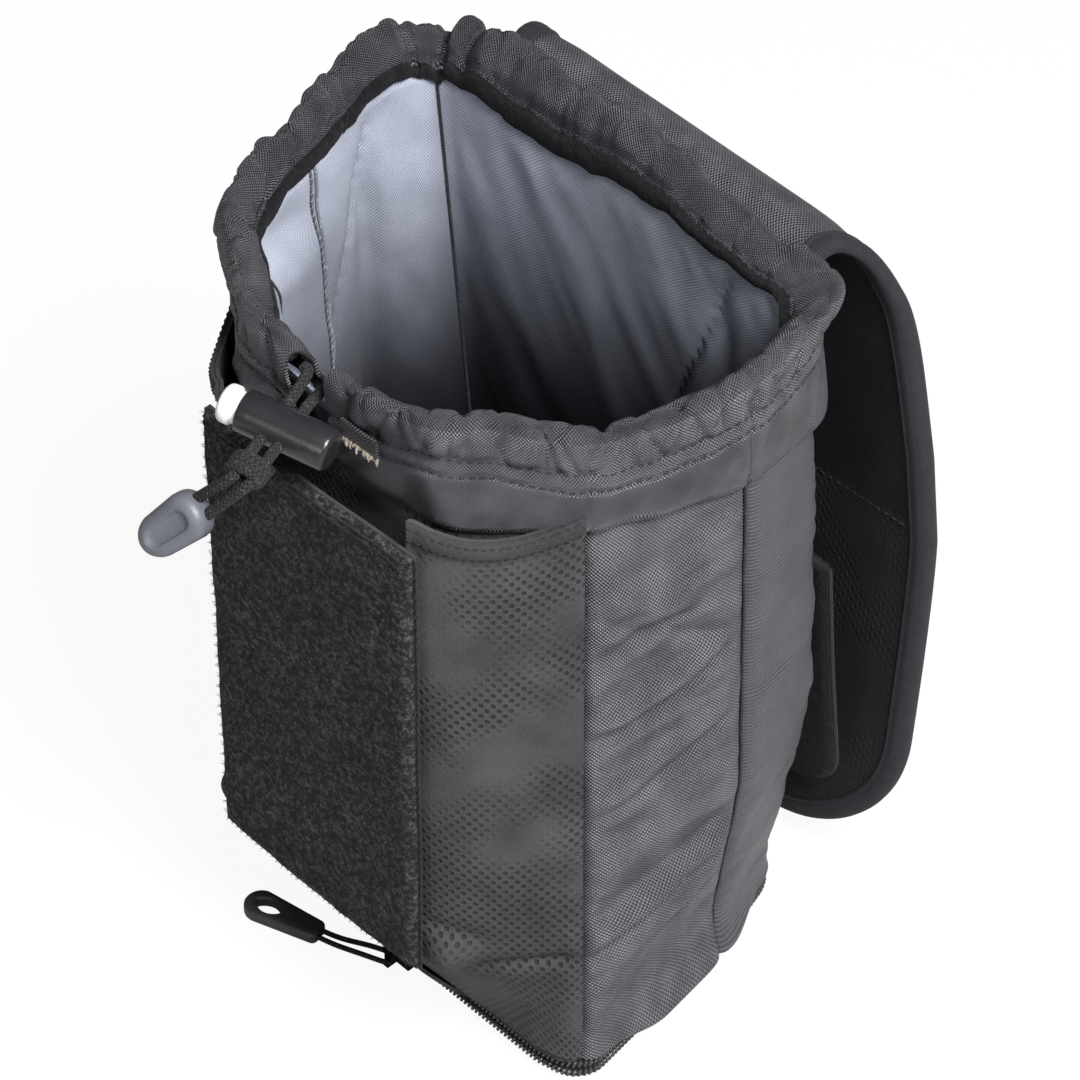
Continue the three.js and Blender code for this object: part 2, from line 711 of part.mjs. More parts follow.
// Zip tapes and coils. The lower coil has a gap where the slider is parked.
function addZip() {
  const tape = { inset: tapeInset, thickness: tapeThickness };
  const coil = { inset: -coilProud, thickness: coilThickness };
  const split = (lowerCoilTop + upperCoilBottom) / 2;
  add('zip_tape_upper', wallRing({ bottom: split + seamGap / 2, top: upperTapeTop, ...tape }), 'tape');
  add('zip_tape_lower', wallRing({ bottom: lowerTapeBottom, top: split - seamGap / 2, ...tape }), 'tape');
  add('zip_coil_upper', wallRing({ bottom: upperCoilBottom, top: upperCoilTop, ...coil }), 'coil');
  const ring = solidOf(wallRing({ bottom: lowerCoilBottom, top: lowerCoilTop, ...coil }));
  const gap = solidOf(box(
    [zipStart - zipGapWidth, lowLevel.frontY - coilProud - overrun, lowerCoilBottom - overrun],
    [zipStart, lowLevel.frontY + coilThickness + overrun, lowerCoilTop + overrun],
  ));
  add('zip_coil_lower', geometryOf(ring.subtract(gap)), 'coil');
}

const coilFaceY = lowLevel.frontY - coilProud;
const bailY = coilFaceY - sliderClearance - sliderPlate - bailReach + bailPinDiameter / 2;
const bailZ = (lowerCoilTop + upperCoilBottom) / 2;

// Zip slider: a channel over both coils, a post between them, and a bail with an upright pin
function addSlider() {
  const x0 = sliderParkedX - sliderLength / 2;
  const x1 = sliderParkedX + sliderLength / 2;
  const plateBack = coilFaceY - sliderClearance;
  const plateFront = plateBack - sliderPlate;
  const low = lowerCoilBottom - sliderClearance;
  const high = upperCoilTop + sliderClearance;
  const channelBack = lowLevel.frontY + coilThickness - coilProud - seamGap;
  const pinHalf = bailPinDiameter / 2;
  const earX = [sliderParkedX - bailEar, sliderParkedX + bailEar];
  const pieces = [
    box([x0, plateFront, low - sliderFlange], [x1, plateBack, high + sliderFlange]),
    box([x0, plateFront, high], [x1, channelBack, high + sliderFlange]),
    box([x0, plateFront, low - sliderFlange], [x1, channelBack, low]),
    box([sliderParkedX - sliderPost / 2, plateFront, bailZ - sliderPostHeight / 2],
      [sliderParkedX + sliderPost / 2, channelBack, bailZ + sliderPostHeight / 2]),
    box([earX[0], bailY - pinHalf, bailZ + bailHalfHeight],
      [earX[1], plateBack, bailZ + bailHalfHeight + bailEar]),
    box([earX[0], bailY - pinHalf, bailZ - bailHalfHeight - bailEar],
      [earX[1], plateBack, bailZ - bailHalfHeight]),
    new THREE.CylinderGeometry(pinHalf, pinHalf, 2 * bailHalfHeight + bailEar, roundSteps)
      .rotateX(Math.PI / 2).translate(sliderParkedX, bailY, bailZ),
  ];
  const slider = pieces.map((piece) => solidOf(piece)).reduce((all, piece) => all.add(piece));
  add('zip_slider', geometryOf(slider), 'slider');
}

// Zip pull: a thin cord looped round the bail's pin, and a moulded grip with a window
function addPull() {
  const turn = new THREE.Group();
  turn.position.set(sliderParkedX, bailY, 0);
  turn.rotation.z = pullTurnDegrees * degrees;
  pouch.add(turn);
  const spread = bailPinDiameter / 2 + seamGap + pullCordDiameter / 2;
  const gripZ = gripThickness / 2 + seamGap;
  const mouth = pullCordLength + gripSocketDepth;
  const strand = (side) => [
    [0, side * spread, bailZ],
    [pullCordLength * 0.3, side * spread, lerp(bailZ, gripZ, 0.3)],
    [pullCordLength * 0.75, side * spread * 0.75, lerp(bailZ, gripZ, 0.9)],
    [mouth - seamGap, side * spread * 0.65, gripZ],
  ];
  const hairpin = [...strand(1).reverse(), [-spread * 0.72, spread * 0.72, bailZ], [-spread, 0, bailZ],
    [-spread * 0.72, -spread * 0.72, bailZ], ...strand(-1)];
  const cord = add('zip_pull_cord', tube(hairpin, pullCordDiameter, 36, 6), 'cord');

  const outline = new THREE.Shape();
  const end = pullCordLength + gripLength;
  outline.moveTo(pullCordLength, -gripRootWidth / 2);
  outline.lineTo(end - gripTipWidth / 2, -gripTipWidth / 2);
  outline.absarc(end - gripTipWidth / 2, 0, gripTipWidth / 2, -Math.PI / 2, Math.PI / 2, false);
  outline.lineTo(pullCordLength, gripRootWidth / 2);
  const window = new THREE.Path();
  const windowHalf = gripWindowLength / 2;
  const windowX = end - gripWindowEdge - windowHalf;
  window.absellipse(windowX, 0, windowHalf, gripWindowWidth / 2, 0, 2 * Math.PI);
  outline.holes.push(window);
  const depth = gripThickness;
  const curveSegments = roundSteps / 2;
  const blank = new THREE.ExtrudeGeometry(outline, { depth, bevelEnabled: false, curveSegments });
  const socketHalf = spread + pullCordDiameter / 2 + seamGap / 2;
  const socket = box(
    [pullCordLength - overrun, -socketHalf * 0.82, gripZ - pullCordDiameter / 2 - seamGap / 2],
    [mouth, socketHalf * 0.82, gripZ + pullCordDiameter / 2 + seamGap / 2],
  );
  const solid = solidOf(blank.translate(0, 0, gripZ - depth / 2)).subtract(solidOf(socket));
  const grip = add('zip_pull_grip', geometryOf(solid), 'grip');
  turn.add(cord, grip);
}

// Pop-down base: fabric, foam and lining plates, and the folded gusset behind the zip
function addBase() {
  const inset = tapeInset + tapeThickness + seamGap;
  add('base_panel', basePlate(0, baseFabric, inset), 'nylon');
  add('base_foam', basePlate(baseFabric + seamGap, baseFoam, inset), 'foam');
  add('base_lining', basePlate(baseLiningBottom, liningThickness, inset), 'lining');
  const gusset = { bottom: baseTop + seamGap, top: gussetTop, inset: skirtInset, thickness: skirtThickness };
  add('expansion_gusset', wallRing(gusset), 'nylon');
}

// Frame of a lid link: its fold line, the direction it hangs in and its lining side.
function lidFrame(pivotY, pivotZ, slope) {
  const angle = slope * degrees;
  const along = new THREE.Vector3(0, Math.cos(angle), Math.sin(angle));
  const out = new THREE.Vector3(0, -Math.sin(angle), Math.cos(angle));
  const across = new THREE.Vector3(1, 0, 0);
  const matrix = new THREE.Matrix4().makeBasis(across, along, out).setPosition(0, pivotY, pivotZ);
  const at = (u, n) => [pivotY + along.y * u + out.y * n, pivotZ + along.z * u + out.z * n];
  return { matrix, at };
}

const lidStack = lidOuter + lidFoam + lidLining + 2 * seamGap;
const lidFull = lidStack + 2 * lidBindingProud;
const rootFrame = lidFrame(lidPivotY, lidPivotZ, lidSlopes.root);
const topPivot = rootFrame.at(lidLengths.root, -lidStack - lidBindingProud);
const topFrame = lidFrame(...topPivot, lidSlopes.top);
const frontPivot = topFrame.at(lidLengths.top, lidFull);
const frontFrame = lidFrame(...frontPivot, lidSlopes.front);

// A flat layer of a lid link: an outline in its frame, between two heights on the lining side.
// An end that meets a fold can be sloped, by a shift along the link that varies with height.
function lidLayer(name, frame, outline, from, to, colour, slope = () => 0) {
  const shape = new THREE.Shape(outline.map(([x, u]) => new THREE.Vector2(x, u)));
  const layer = new THREE.ExtrudeGeometry(shape, { depth: to - from, bevelEnabled: false });
  layer.translate(0, 0, from);
  const place = layer.getAttribute('position');
  for (let i = 0; i < place.count; i++) {
    place.setY(i, place.getY(i) + slope(place.getY(i), place.getZ(i)));
  }
  add(name, layer.applyMatrix4(frame.matrix), colour);
}

// Right-hand edge of a link, from shares of the lid's half width at even steps along it.
function linkEdge(widthShares, start, length, inset) {
  return widthShares.map((share, i) => {
    const u = lerp(start, length - lidJointGap, i / (widthShares.length - 1));
    return [share * lidHalfWidth - inset, u];
  });
}

// How far the root and top are cut back from their fold line at a height, so that it can close.
const foldTrim = (height) => height * Math.tan(lidDoubling / 2 * degrees);

const mirrored = (edge) => edge.map(([x, u]) => [-x, u]).reverse();

// Right-hand edge of the front link, with its rounded lower corner.
function frontEdge(inset) {
  const radius = lidCornerRadius - inset;
  const centreX = lidHalfWidth - lidCornerRadius;
  const centreU = lidLengths.front - lidCornerRadius;
  const edge = [[lidHalfWidth - inset, lidJointGap]];
  for (let s = 0; s <= lidCornerSteps; s++) {
    const angle = (s / lidCornerSteps) * Math.PI / 2;
    edge.push([centreX + Math.cos(angle) * radius, centreU + Math.sin(angle) * radius]);
  }
  return edge;
}

// The lid: stitched tab, unpadded root, padded top and front, bound edges, hook patch
function addLid() {
  const outset = collarOverhang + 3 * seamGap + lidOuter;
  const backY = (z) => planCorners(z)[corner.rearRight].y;
  const upright = [shellTop + seamGap, lidPivotZ - lidTabDrop].map((z) => [backY(z) + outset, z]);
  const bends = [
    [lidPivotY - lidTabBend.reach, lidPivotZ - lidTabBend.drop],
    [lidPivotY, lidPivotZ - lidTabEndDrop],
  ];
  const tab = (side) => [
    ...upright.map(([y, z]) => [y + side * lidOuter, z]),
    ...bends.map(([y, z]) => [y + side * lidOuter / 2, z - side * lidOuter / 2]),
  ].map(([y, z]) => [-lidTabHalfWidth, 0, lidTabHalfWidth].map((x) => [x, y, z]));
  add('lid_tab', sheetSolid(tab(0), tab(-1)), 'nylon');

  const links = [
    ['root', rootFrame, lidRootWidthShares, lidRootGap, lidLengths.root, -lidStack],
    ['top', topFrame, lidTopWidthShares, lidJointGap, lidLengths.top, lidBindingProud],
  ];
  for (const [name, frame, widths, start, length, base] of links) {
    const low = base - lidBindingProud;
    const [foldEnd, sign] = name === 'root' ? [length - lidJointGap, -1] : [start, 1];
    const slope = (u, n) => (Math.abs(u - foldEnd) < seamGap ? sign * foldTrim(n - low) : 0);
    const inner = linkEdge(widths, start, length, lidBinding + seamGap);
    const sheet = [...inner, ...mirrored(inner)];
    const layer = (kind, from, thickness, colour) => {
      lidLayer(`lid_${name}_${kind}`, frame, sheet, from, from + thickness, colour, slope);
    };
    const foamFrom = base + lidOuter + seamGap;
    layer('outer', base, lidOuter, 'nylon');
    if (name === 'top') layer('foam', foamFrom, lidFoam, 'foam');
    layer('lining', foamFrom + lidFoam + seamGap, lidLining, 'collar');
    const edge = linkEdge(widths, start, length, 0);
    const strip = [...edge, ...linkEdge(widths, start, length, lidBinding).reverse()];
    lidLayer(`lid_${name}_binding_right`, frame, strip, low, low + lidFull, 'tape', slope);
    const leftStrip = strip.map(([x, u]) => [-x, u]).reverse();
    lidLayer(`lid_${name}_binding_left`, frame, leftStrip, low, low + lidFull, 'tape', slope);
  }

  const base = -lidStack - lidBindingProud;
  const inner = frontEdge(lidBinding + seamGap);
  const sheet = [...inner, ...mirrored(inner)];
  const foamFrom = base + lidOuter + seamGap;
  const liningFrom = foamFrom + lidFoam + seamGap;
  lidLayer('lid_front_outer', frontFrame, sheet, base, base + lidOuter, 'textured');
  lidLayer('lid_front_foam', frontFrame, sheet, foamFrom, foamFrom + lidFoam, 'foam');
  lidLayer('lid_front_lining', frontFrame, sheet, liningFrom, liningFrom + lidLining, 'collar');
  const rim = [...frontEdge(0), ...mirrored(frontEdge(0)), ...frontEdge(lidBinding)
    .map(([x, u]) => [-x, u]), ...frontEdge(lidBinding).reverse()];
  lidLayer('lid_front_binding', frontFrame, rim, base - lidBindingProud, 0, 'tape');
  const hookU = lidLengths.front - hookFromEnd - hookLength;
  const hookFrom = liningFrom + lidLining + seamGap;
  const patch = [[hookWidth / 2, hookU], [hookWidth / 2, hookU + hookLength],
    [-hookWidth / 2, hookU + hookLength], [-hookWidth / 2, hookU]];
  lidLayer('lid_hook_patch', frontFrame, patch, hookFrom, hookFrom + hookThickness, 'hook');
}

// The belt flap: webbing sewn at its top edge, with a loop-fastener face
function addBeltFlap() {
  const seamY = planCorners(beltFlapTop)[corner.rearRight].y + beltFlapGap;
  const frame = lidFrame(seamY, beltFlapTop, beltFlapLeanDegrees - 90);
  const corners = [];
  for (let s = 0; s <= lidCornerSteps; s++) {
    const angle = (s / lidCornerSteps) * Math.PI / 2;
    corners.push([
      beltFlapHalfWidth - beltFlapCornerRadius * (1 - Math.cos(angle)),
      beltFlapLength - beltFlapCornerRadius * (1 - Math.sin(angle)),
    ]);
  }
  const edge = [[beltFlapHalfWidth, lidJointGap], ...corners];
  const sheet = [...edge, ...mirrored(edge)];
  lidLayer('belt_flap_web', frame, sheet, 0, beltFlapWeb, 'tape');
  const pileFrom = beltFlapWeb + seamGap;
  lidLayer('belt_flap_loop', frame, sheet, pileFrom, pileFrom + beltFlapPile, 'loop');
}

// Frame of the cord lock: Z along the barrel, X along the strands, origin at its middle
function lockFrame() {
  const strands = new THREE.Vector3(...tailDirection).normalize();
  const barrel = new THREE.Vector3(...lockDirection);
  barrel.addScaledVector(strands, -barrel.dot(strands)).normalize();
  const third = new THREE.Vector3().crossVectors(barrel, strands);
  return new THREE.Matrix4().makeBasis(strands, third, barrel).setPosition(...lockCentre);
}

function lathe(profile) {
  const points = profile.map(([r, z]) => new THREE.Vector2(r, z)).reverse();
  return new THREE.LatheGeometry([...points, points[0].clone()], roundSteps).rotateX(Math.PI / 2);
}

// Cord tails, cord lock, knot, moulded end and keeper tape
function addCordParts() {
  const frame = lockFrame();
  const place = (x, z) => new THREE.Vector3(x, 0, z).applyMatrix4(frame).toArray();
  const middle = -strandShift;
  const knotAt = place(knotDistance, middle);
  const capAt = knotAt.map((v, i) => v + capStart[i]);
  const capAlong = new THREE.Vector3(...capDirection).normalize();
  const capFace = new THREE.Vector3(...capFacing);
  capFace.addScaledVector(capAlong, -capFace.dot(capAlong)).normalize();
  const capAcross = new THREE.Vector3().crossVectors(capFace, capAlong);
  const capFrame = new THREE.Matrix4().makeBasis(capAlong, capAcross, capFace).setPosition(...capAt);
  for (const [side, label] of [[1, 'right'], [-1, 'left']]) {
    const at = middle + side * tailSpread;
    const inCap = (depth) => new THREE.Vector3(depth, side * tailSpread, 0).applyMatrix4(capFrame).toArray();
    const inside = notchX + side * (mouthNotch - 2.5 * seamGap);
    const bend = notchX + side * (mouthNotch - cordDiameter);
    const high = crownHeight(inside, topLevel.frontY) - collarDrop;
    const route = [
      [inside, channelY, high],
      [bend, channelY - cordDiameter / 4, high],
      place(-lockDiameter, at),
      place(0, at),
      place(knotDistance, at),
      place(knotDistance + knotLength * 0.6, at),
      inCap(0),
      inCap(capSocket - runningGap),
    ];
    add(`cord_tail_${label}`, tube(route, cordDiameter, cordSteps), 'cord');
  }

  const half = lockLength / 2;
  const outer = lockDiameter / 2;
  const slotHalf = tailSpread + cordDiameter / 2 + runningGap;
  const slotHeight = cordDiameter + 2 * runningGap;
  const through = (low, high) => solidOf(box(
    [-lockDiameter, -slotHeight / 2, low],
    [lockDiameter, slotHeight / 2, high],
  ));
  const shell = solidOf(lathe([[0, half - lockFloor], [0, half], [outer - lockChamfer, half],
    [outer, half - lockChamfer], [outer, -half], [lockBore / 2, -half], [lockBore / 2, half - lockFloor]]));
  const barrel = shell.subtract(through(middle - slotHalf, middle + slotHalf));
  add('cord_lock_barrel', geometryOf(barrel).applyMatrix4(frame), 'barrel');

  const inner = middle + slotHalf + plungerWall;
  const face = -half - plungerProud;
  const radius = plungerDiameter / 2;
  const pin = solidOf(lathe([[0, inner], [radius, inner], [radius, face + lockChamfer],
    [radius - lockChamfer, face], [0, face]]));
  const plunger = pin.subtract(through(middle - slotHalf - plungerPress, middle + slotHalf));
  add('cord_lock_plunger', geometryOf(plunger).applyMatrix4(frame), 'plunger');

  const coil = [];
  const springFrom = inner + seamGap + springWire / 2;
  const springTo = half - lockFloor - seamGap - springWire / 2;
  const springPoints = springTurns * springSteps;
  for (let i = 0; i <= springPoints; i++) {
    const angle = (i / springSteps) * 2 * Math.PI;
    const r = (springDiameter - springWire) / 2;
    coil.push([Math.cos(angle) * r, Math.sin(angle) * r, lerp(springFrom, springTo, i / springPoints)]);
  }
  add('cord_lock_spring', tube(coil, springWire, springPoints * 2, 6).applyMatrix4(frame), 'steel');

  const lumps = [-knotLength / 4, knotLength / 4].map((shift) => {
    const lump = new THREE.SphereGeometry(knotDiameter / 2, 12, 8).scale(knotLumpShare, 1, 1);
    return solidOf(lump.translate(knotDistance + shift, 0, middle));
  });
  const knot = lumps[0].add(lumps[1]).subtract(solidOf(box(
    [0, -slotHeight / 2 - seamGap, middle - slotHalf - seamGap],
    [knotDistance + knotLength, slotHeight / 2 + seamGap, middle + slotHalf + seamGap],
  )));
  add('cord_knot', geometryOf(knot).applyMatrix4(frame), 'cord');

  const round = (length, width) => {
    const shape = new THREE.Shape();
    shape.absarc(length / 2 - width / 2, 0, width / 2, -Math.PI / 2, Math.PI / 2, false);
    shape.absarc(width / 2 - length / 2, 0, width / 2, Math.PI / 2, -Math.PI / 2, false);
    return shape;
  };
  const rounded = {
    depth: capThickness - 2 * capEdge,
    bevelThickness: capEdge,
    bevelSize: capEdge,
    bevelSegments: 2,
    curveSegments: 8,
  };
  const flat = round(capLength - 2 * capEdge, capWidth - 2 * capEdge);
  const blank = new THREE.ExtrudeGeometry(flat, rounded)
    .translate(capLength / 2, 0, capEdge - capThickness / 2);
  const groove = new THREE.ExtrudeGeometry(
    round(capGrooveLength, capGrooveWidth),
    { depth: capGroove + overrun, bevelEnabled: false, curveSegments: 8 },
  ).translate(capLength / 2, 0, capThickness / 2 - capGroove);
  const socket = box([-overrun, -slotHalf, -slotHeight / 2], [capSocket, slotHalf, slotHeight / 2]);
  const cap = solidOf(blank).subtract(solidOf(groove)).subtract(solidOf(socket));
  add('cord_end_cap', geometryOf(cap).applyMatrix4(capFrame), 'cap');

  const keeper = box(
    [-keeperLength / 2, -keeperThickness / 2, -keeperHeight / 2],
    [keeperLength / 2, keeperThickness / 2, keeperHeight / 2],
  );
  add('cord_keeper_tape', keeper.translate(...keeperCentre), 'tape');
}

addWalls();
addCollar();
addDrawcordLoop();
addPocket();
addZip();
addSlider();
addPull();
addBase();
addLid();
addBeltFlap();
addCordParts();

export default pouch;
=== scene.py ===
# A soft camera-lens pouch: padded walls, a drawstring collar, a pale lining, a pocket faced
# with loop fastener, a lid that hangs open behind, a belt flap and a zipped pop-down base.
# Sizes are in millimetres, and turned into metres when a mesh is made.
import math
import bmesh
import bpy
import numpy as np
from mathutils import Matrix, Vector


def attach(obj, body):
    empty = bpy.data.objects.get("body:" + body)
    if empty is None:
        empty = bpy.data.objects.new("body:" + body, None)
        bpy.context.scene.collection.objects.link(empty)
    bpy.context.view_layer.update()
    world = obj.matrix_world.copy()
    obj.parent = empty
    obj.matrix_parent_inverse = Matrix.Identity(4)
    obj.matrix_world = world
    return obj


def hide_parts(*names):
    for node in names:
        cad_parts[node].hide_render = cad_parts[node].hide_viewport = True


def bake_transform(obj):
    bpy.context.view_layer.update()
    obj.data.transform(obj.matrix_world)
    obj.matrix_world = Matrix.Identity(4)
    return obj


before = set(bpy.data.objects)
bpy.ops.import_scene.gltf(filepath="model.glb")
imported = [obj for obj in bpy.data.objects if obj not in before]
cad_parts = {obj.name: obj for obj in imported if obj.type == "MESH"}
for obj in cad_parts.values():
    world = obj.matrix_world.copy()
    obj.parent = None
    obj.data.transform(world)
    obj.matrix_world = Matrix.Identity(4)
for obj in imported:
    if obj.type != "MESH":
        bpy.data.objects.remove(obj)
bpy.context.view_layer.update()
MM = 0.001

# Camera: a long lens from the front right and above, rolled a little
CAMERA_PLACE = (582.81, -572.52, 883.08)
CAMERA_TARGET = (0, 0, 123.1)
CAMERA_ROLL_DEGREES = 0.74
CAMERA_LENS = 139.93
CAMERA_SENSOR = 36


def new_object(name, data):
    made = bpy.data.objects.new(name, data)
    bpy.context.collection.objects.link(made)
    return made


def aimed(place, target):
    """The matrix of a camera or light at a place, looking at a target."""
    turn = (Vector(target) - Vector(place)).to_track_quat("-Z", "Y")
    return Matrix.Translation(place) @ turn.to_matrix().to_4x4()


def make_camera():
    data = bpy.data.cameras.new("camera")
    data.lens = CAMERA_LENS
    data.sensor_width = CAMERA_SENSOR
    data.clip_end = 20
    camera = new_object("camera", data)
    roll = Matrix.Rotation(math.radians(CAMERA_ROLL_DEGREES), 4, "Z")
    camera.matrix_world = aimed(Vector(CAMERA_PLACE) * MM, Vector(CAMERA_TARGET) * MM) @ roll
    bpy.context.scene.camera = camera


# Body of the pouch, as in the construction: plan outline at three heights, with its corners
# as shares of the half width and of the depth from the front
LEVELS = [
    dict(z=22, half=71, front=-54, back=44,
         shares=[(0.8, 0), (1, 0.03), (0.88, 0.64), (0.74, 1)]),
    dict(z=85, half=76, front=-61, back=44,
         shares=[(0.54, 0), (0.86, 0.13), (1, 0.6), (0.87, 0.98)]),
    dict(z=235, half=77, front=-72, back=31,
         shares=[(0.44, 0), (0.77, 0.27), (1, 0.65), (0.92, 1)]),
]
CORNER_RADII = [12, 9, 24, 16]
LEAST_RADIUS = 3
ARC_HALF_STEPS = 8
CHEEK_RIGHT, FLANK_RIGHT, REAR_RIGHT = 1, 2, 3
REAR_LEFT, FLANK_LEFT, CHEEK_LEFT = 4, 5, 6
RIM = 247
RIGHT_DROP = 15
FRONT_DIP = 12
FRONT_DIP_REACH = 32
DROP_FROM = 40
DROP_SPAN = 80
LEFT_DIP = 12
LEFT_DIP_FROM = 20
LEFT_DIP_TO = 60
LEFT_DIP_LENGTH = 70
BACK_FROM, BACK_TO = 20, 30
CREST_X = [-77, -70, -62, -48, -21, 15, 35, 61, 70]
CREST_LIFT = [-5, -4, 0, 2.5, 3, 6.5, 4, -1, 0]
RIGHT_SAG = 6.5
RIGHT_SAG_CENTRE, RIGHT_SAG_REACH = (60, -38), 26
FACING_FRONT, FACING_LEFT = 20, 13
FACING_X = [-70, -60, -25, 0, 24, 58, 70]
FACING_BACK = [13, 16, 20.5, 18.5, 14, 8.5, 10]
CHEEK_BULGE = 7.5
CHEEK_CENTRE, CHEEK_REACH = (-62, -42), 21
BULGE_FROM, BULGE_TO = 196, 212
PEAK_RISE = 4
PEAK_REACH = 16
PEAK_X = 70.84
MOUTH_BACK = 31
NOTCH_X = -8.4
NOTCH_HALF = 6.8
TOP_Z = 235
SHELL_TOP = 206
SHELL_BOTTOM = 10.4


def lerp(a, b, share):
    return a + (b - a) * share


def smoothstep(x, low, high):
    t = np.clip((x - low) / (high - low), 0, 1)
    return t * t * (3 - 2 * t)


def bell(x, width):
    return np.exp(-(x / width) ** 2)


def spike(x, width):
    return np.exp(-np.abs(x) / width)


def mound(x, y, centre, reach):
    return np.exp(-((x - centre[0]) ** 2 + (y - centre[1]) ** 2) / reach ** 2)


def paired(x, y):
    """Two coordinates as one grid of pairs."""
    return np.stack(np.broadcast_arrays(x, y), axis=-1)


def line_length(points):
    return np.linalg.norm(np.diff(points, axis=0), axis=1).sum()


def lengths_along(points):
    """How far along a line each of its points lies."""
    steps = np.linalg.norm(np.diff(points, axis=0), axis=1)
    return np.concatenate([[0], np.cumsum(steps)])


def directions(points):
    along = np.gradient(points, axis=0)
    return along / np.linalg.norm(along, axis=1, keepdims=True)


def plan_corners(z):
    upper = 2 if z > LEVELS[1]["z"] else 1
    low, high = LEVELS[upper - 1], LEVELS[upper]
    share = min(max((z - low["z"]) / (high["z"] - low["z"]), 0), 1)
    right = []
    for (low_x, low_y), (high_x, high_y) in zip(low["shares"], high["shares"]):
        x = lerp(low_x * low["half"], high_x * high["half"], share)
        low_y = lerp(low["front"], low["back"], low_y)
        y = lerp(low_y, lerp(high["front"], high["back"], high_y), share)
        right.append((x, y))
    return right + [(-x, y) for x, y in reversed(right)]


def plan(z, inset=0):
    """The rounded outline at a height, anticlockwise from the right-hand front corner."""
    corners = np.array(plan_corners(z))
    count = len(corners)
    radii = CORNER_RADII + CORNER_RADII[::-1]
    points = []
    for i, corner in enumerate(corners):
        before = corner - corners[i - 1]
        after = corners[(i + 1) % count] - corner
        start = math.atan2(-before[0], before[1])
        turn = (math.atan2(-after[0], after[1]) - start) % (2 * math.pi)
        radius = max(radii[i] - inset, LEAST_RADIUS)
        middle = start + turn / 2
        reach = (inset + radius) / math.cos(turn / 2)
        centre = corner - np.array([math.cos(middle), math.sin(middle)]) * reach
        for step in range(2 * ARC_HALF_STEPS + 1):
            angle = start + turn * step / (2 * ARC_HALF_STEPS)
            points.append(centre + np.array([math.cos(angle), math.sin(angle)]) * radius)
    return np.array(points)


def seam_index(corner):
    return corner * (2 * ARC_HALF_STEPS + 1) + ARC_HALF_STEPS


def resample(points, count):
    """Points evenly spaced along a line."""
    points = np.asarray(points, float)
    length = lengths_along(points)
    places = np.linspace(0, length[-1], count)
    return np.stack([np.interp(places, length, points[:, i]) for i in range(points.shape[1])], axis=1)


def plan_between(z, inset, first, last, count):
    loop = plan(z, inset)
    end = seam_index(last) if last > first else seam_index(last) + len(loop)
    indices = np.arange(seam_index(first), end + 1) % len(loop)
    return resample(loop[indices], count)


def plan_ring(z, inset, count):
    loop = plan(z, inset)
    return resample(np.vstack([loop, loop[:1]]), count + 1)[:-1]


def crown_height(x, y):
    rise = smoothstep((y - x) * math.sqrt(0.5) + DROP_FROM, 0, DROP_SPAN)
    front = np.where(y < 0, bell(x - NOTCH_X, FRONT_DIP_REACH), 0)
    left = smoothstep(-x, LEFT_DIP_FROM, LEFT_DIP_TO) * smoothstep(MOUTH_BACK - y, 0, LEFT_DIP_LENGTH)
    peak = mound(x, y, (PEAK_X, MOUTH_BACK), PEAK_REACH)
    return RIM - RIGHT_DROP * (1 - rise) - FRONT_DIP * front - LEFT_DIP * left + PEAK_RISE * peak


def crest_shift(x, y):
    """How far the soft rim stands above or below its cut line."""
    lift = smoothstep(y, BACK_FROM, BACK_TO) * np.interp(x, CREST_X, CREST_LIFT)
    return lift - RIGHT_SAG * mound(x, y, RIGHT_SAG_CENTRE, RIGHT_SAG_REACH)


def facing_drop(x, y):
    """Height of the collar's inner facing, which narrows at the sides and towards the right."""
    side = lerp(FACING_FRONT, FACING_LEFT, smoothstep(-x, 56, 68))
    return lerp(side, np.interp(x, FACING_X, FACING_BACK), smoothstep(y, BACK_FROM, BACK_TO))


def cheek_bulge(x, y):
    """How far the collar sags outwards over the left cheek."""
    return CHEEK_BULGE * mound(x, y, CHEEK_CENTRE, CHEEK_REACH)


# Smooth noise that is the same on every run
def noise(x, y, seed=0):
    """Value noise on unit cells, from -1 to 1."""
    x, y = np.broadcast_arrays(np.asarray(x, float), np.asarray(y, float))
    column, row = np.floor(x), np.floor(y)
    across, up = x - column, y - row
    across = across * across * (3 - 2 * across)
    up = up * up * (3 - 2 * up)

    def lattice(i, j):
        value = np.sin(i * 127.1 + j * 311.7 + seed * 74.7) * 43758.5453
        return 2 * (value - np.floor(value)) - 1

    low = lerp(lattice(column, row), lattice(column + 1, row), across)
    high = lerp(lattice(column, row + 1), lattice(column + 1, row + 1), across)
    return lerp(low, high, up)


def folds(along, up, spacing, length, degrees, seed):
    """Soft folds lying at an angle to the level, from about -1 to 1."""
    turn = math.radians(degrees)
    run = along * math.cos(turn) + up * math.sin(turn)
    rise = up * math.cos(turn) - along * math.sin(turn)
    coarse = noise(rise / spacing, run / length, seed)
    fine = noise(rise / spacing * 2.1, run / length * 1.7, seed + 1)
    return 0.72 * coarse + 0.28 * fine


def creases(along, across, spacing, width, slant, seed):
    """Sharp valleys at uneven steps along a line, each leaning a little. Mostly from -1 to 0."""
    total = 0
    for k in range(int(np.max(along) / spacing) + 1):
        centre = (k + 0.5 + 0.38 * noise(k * 1.7, 0, seed)) * spacing
        lean = slant * noise(k * 2.3, 0, seed + 1)
        depth = 0.65 + 0.35 * noise(k * 3.1, 0, seed + 2)
        total = total - depth * spike(along - centre - lean * across, width)
    return total


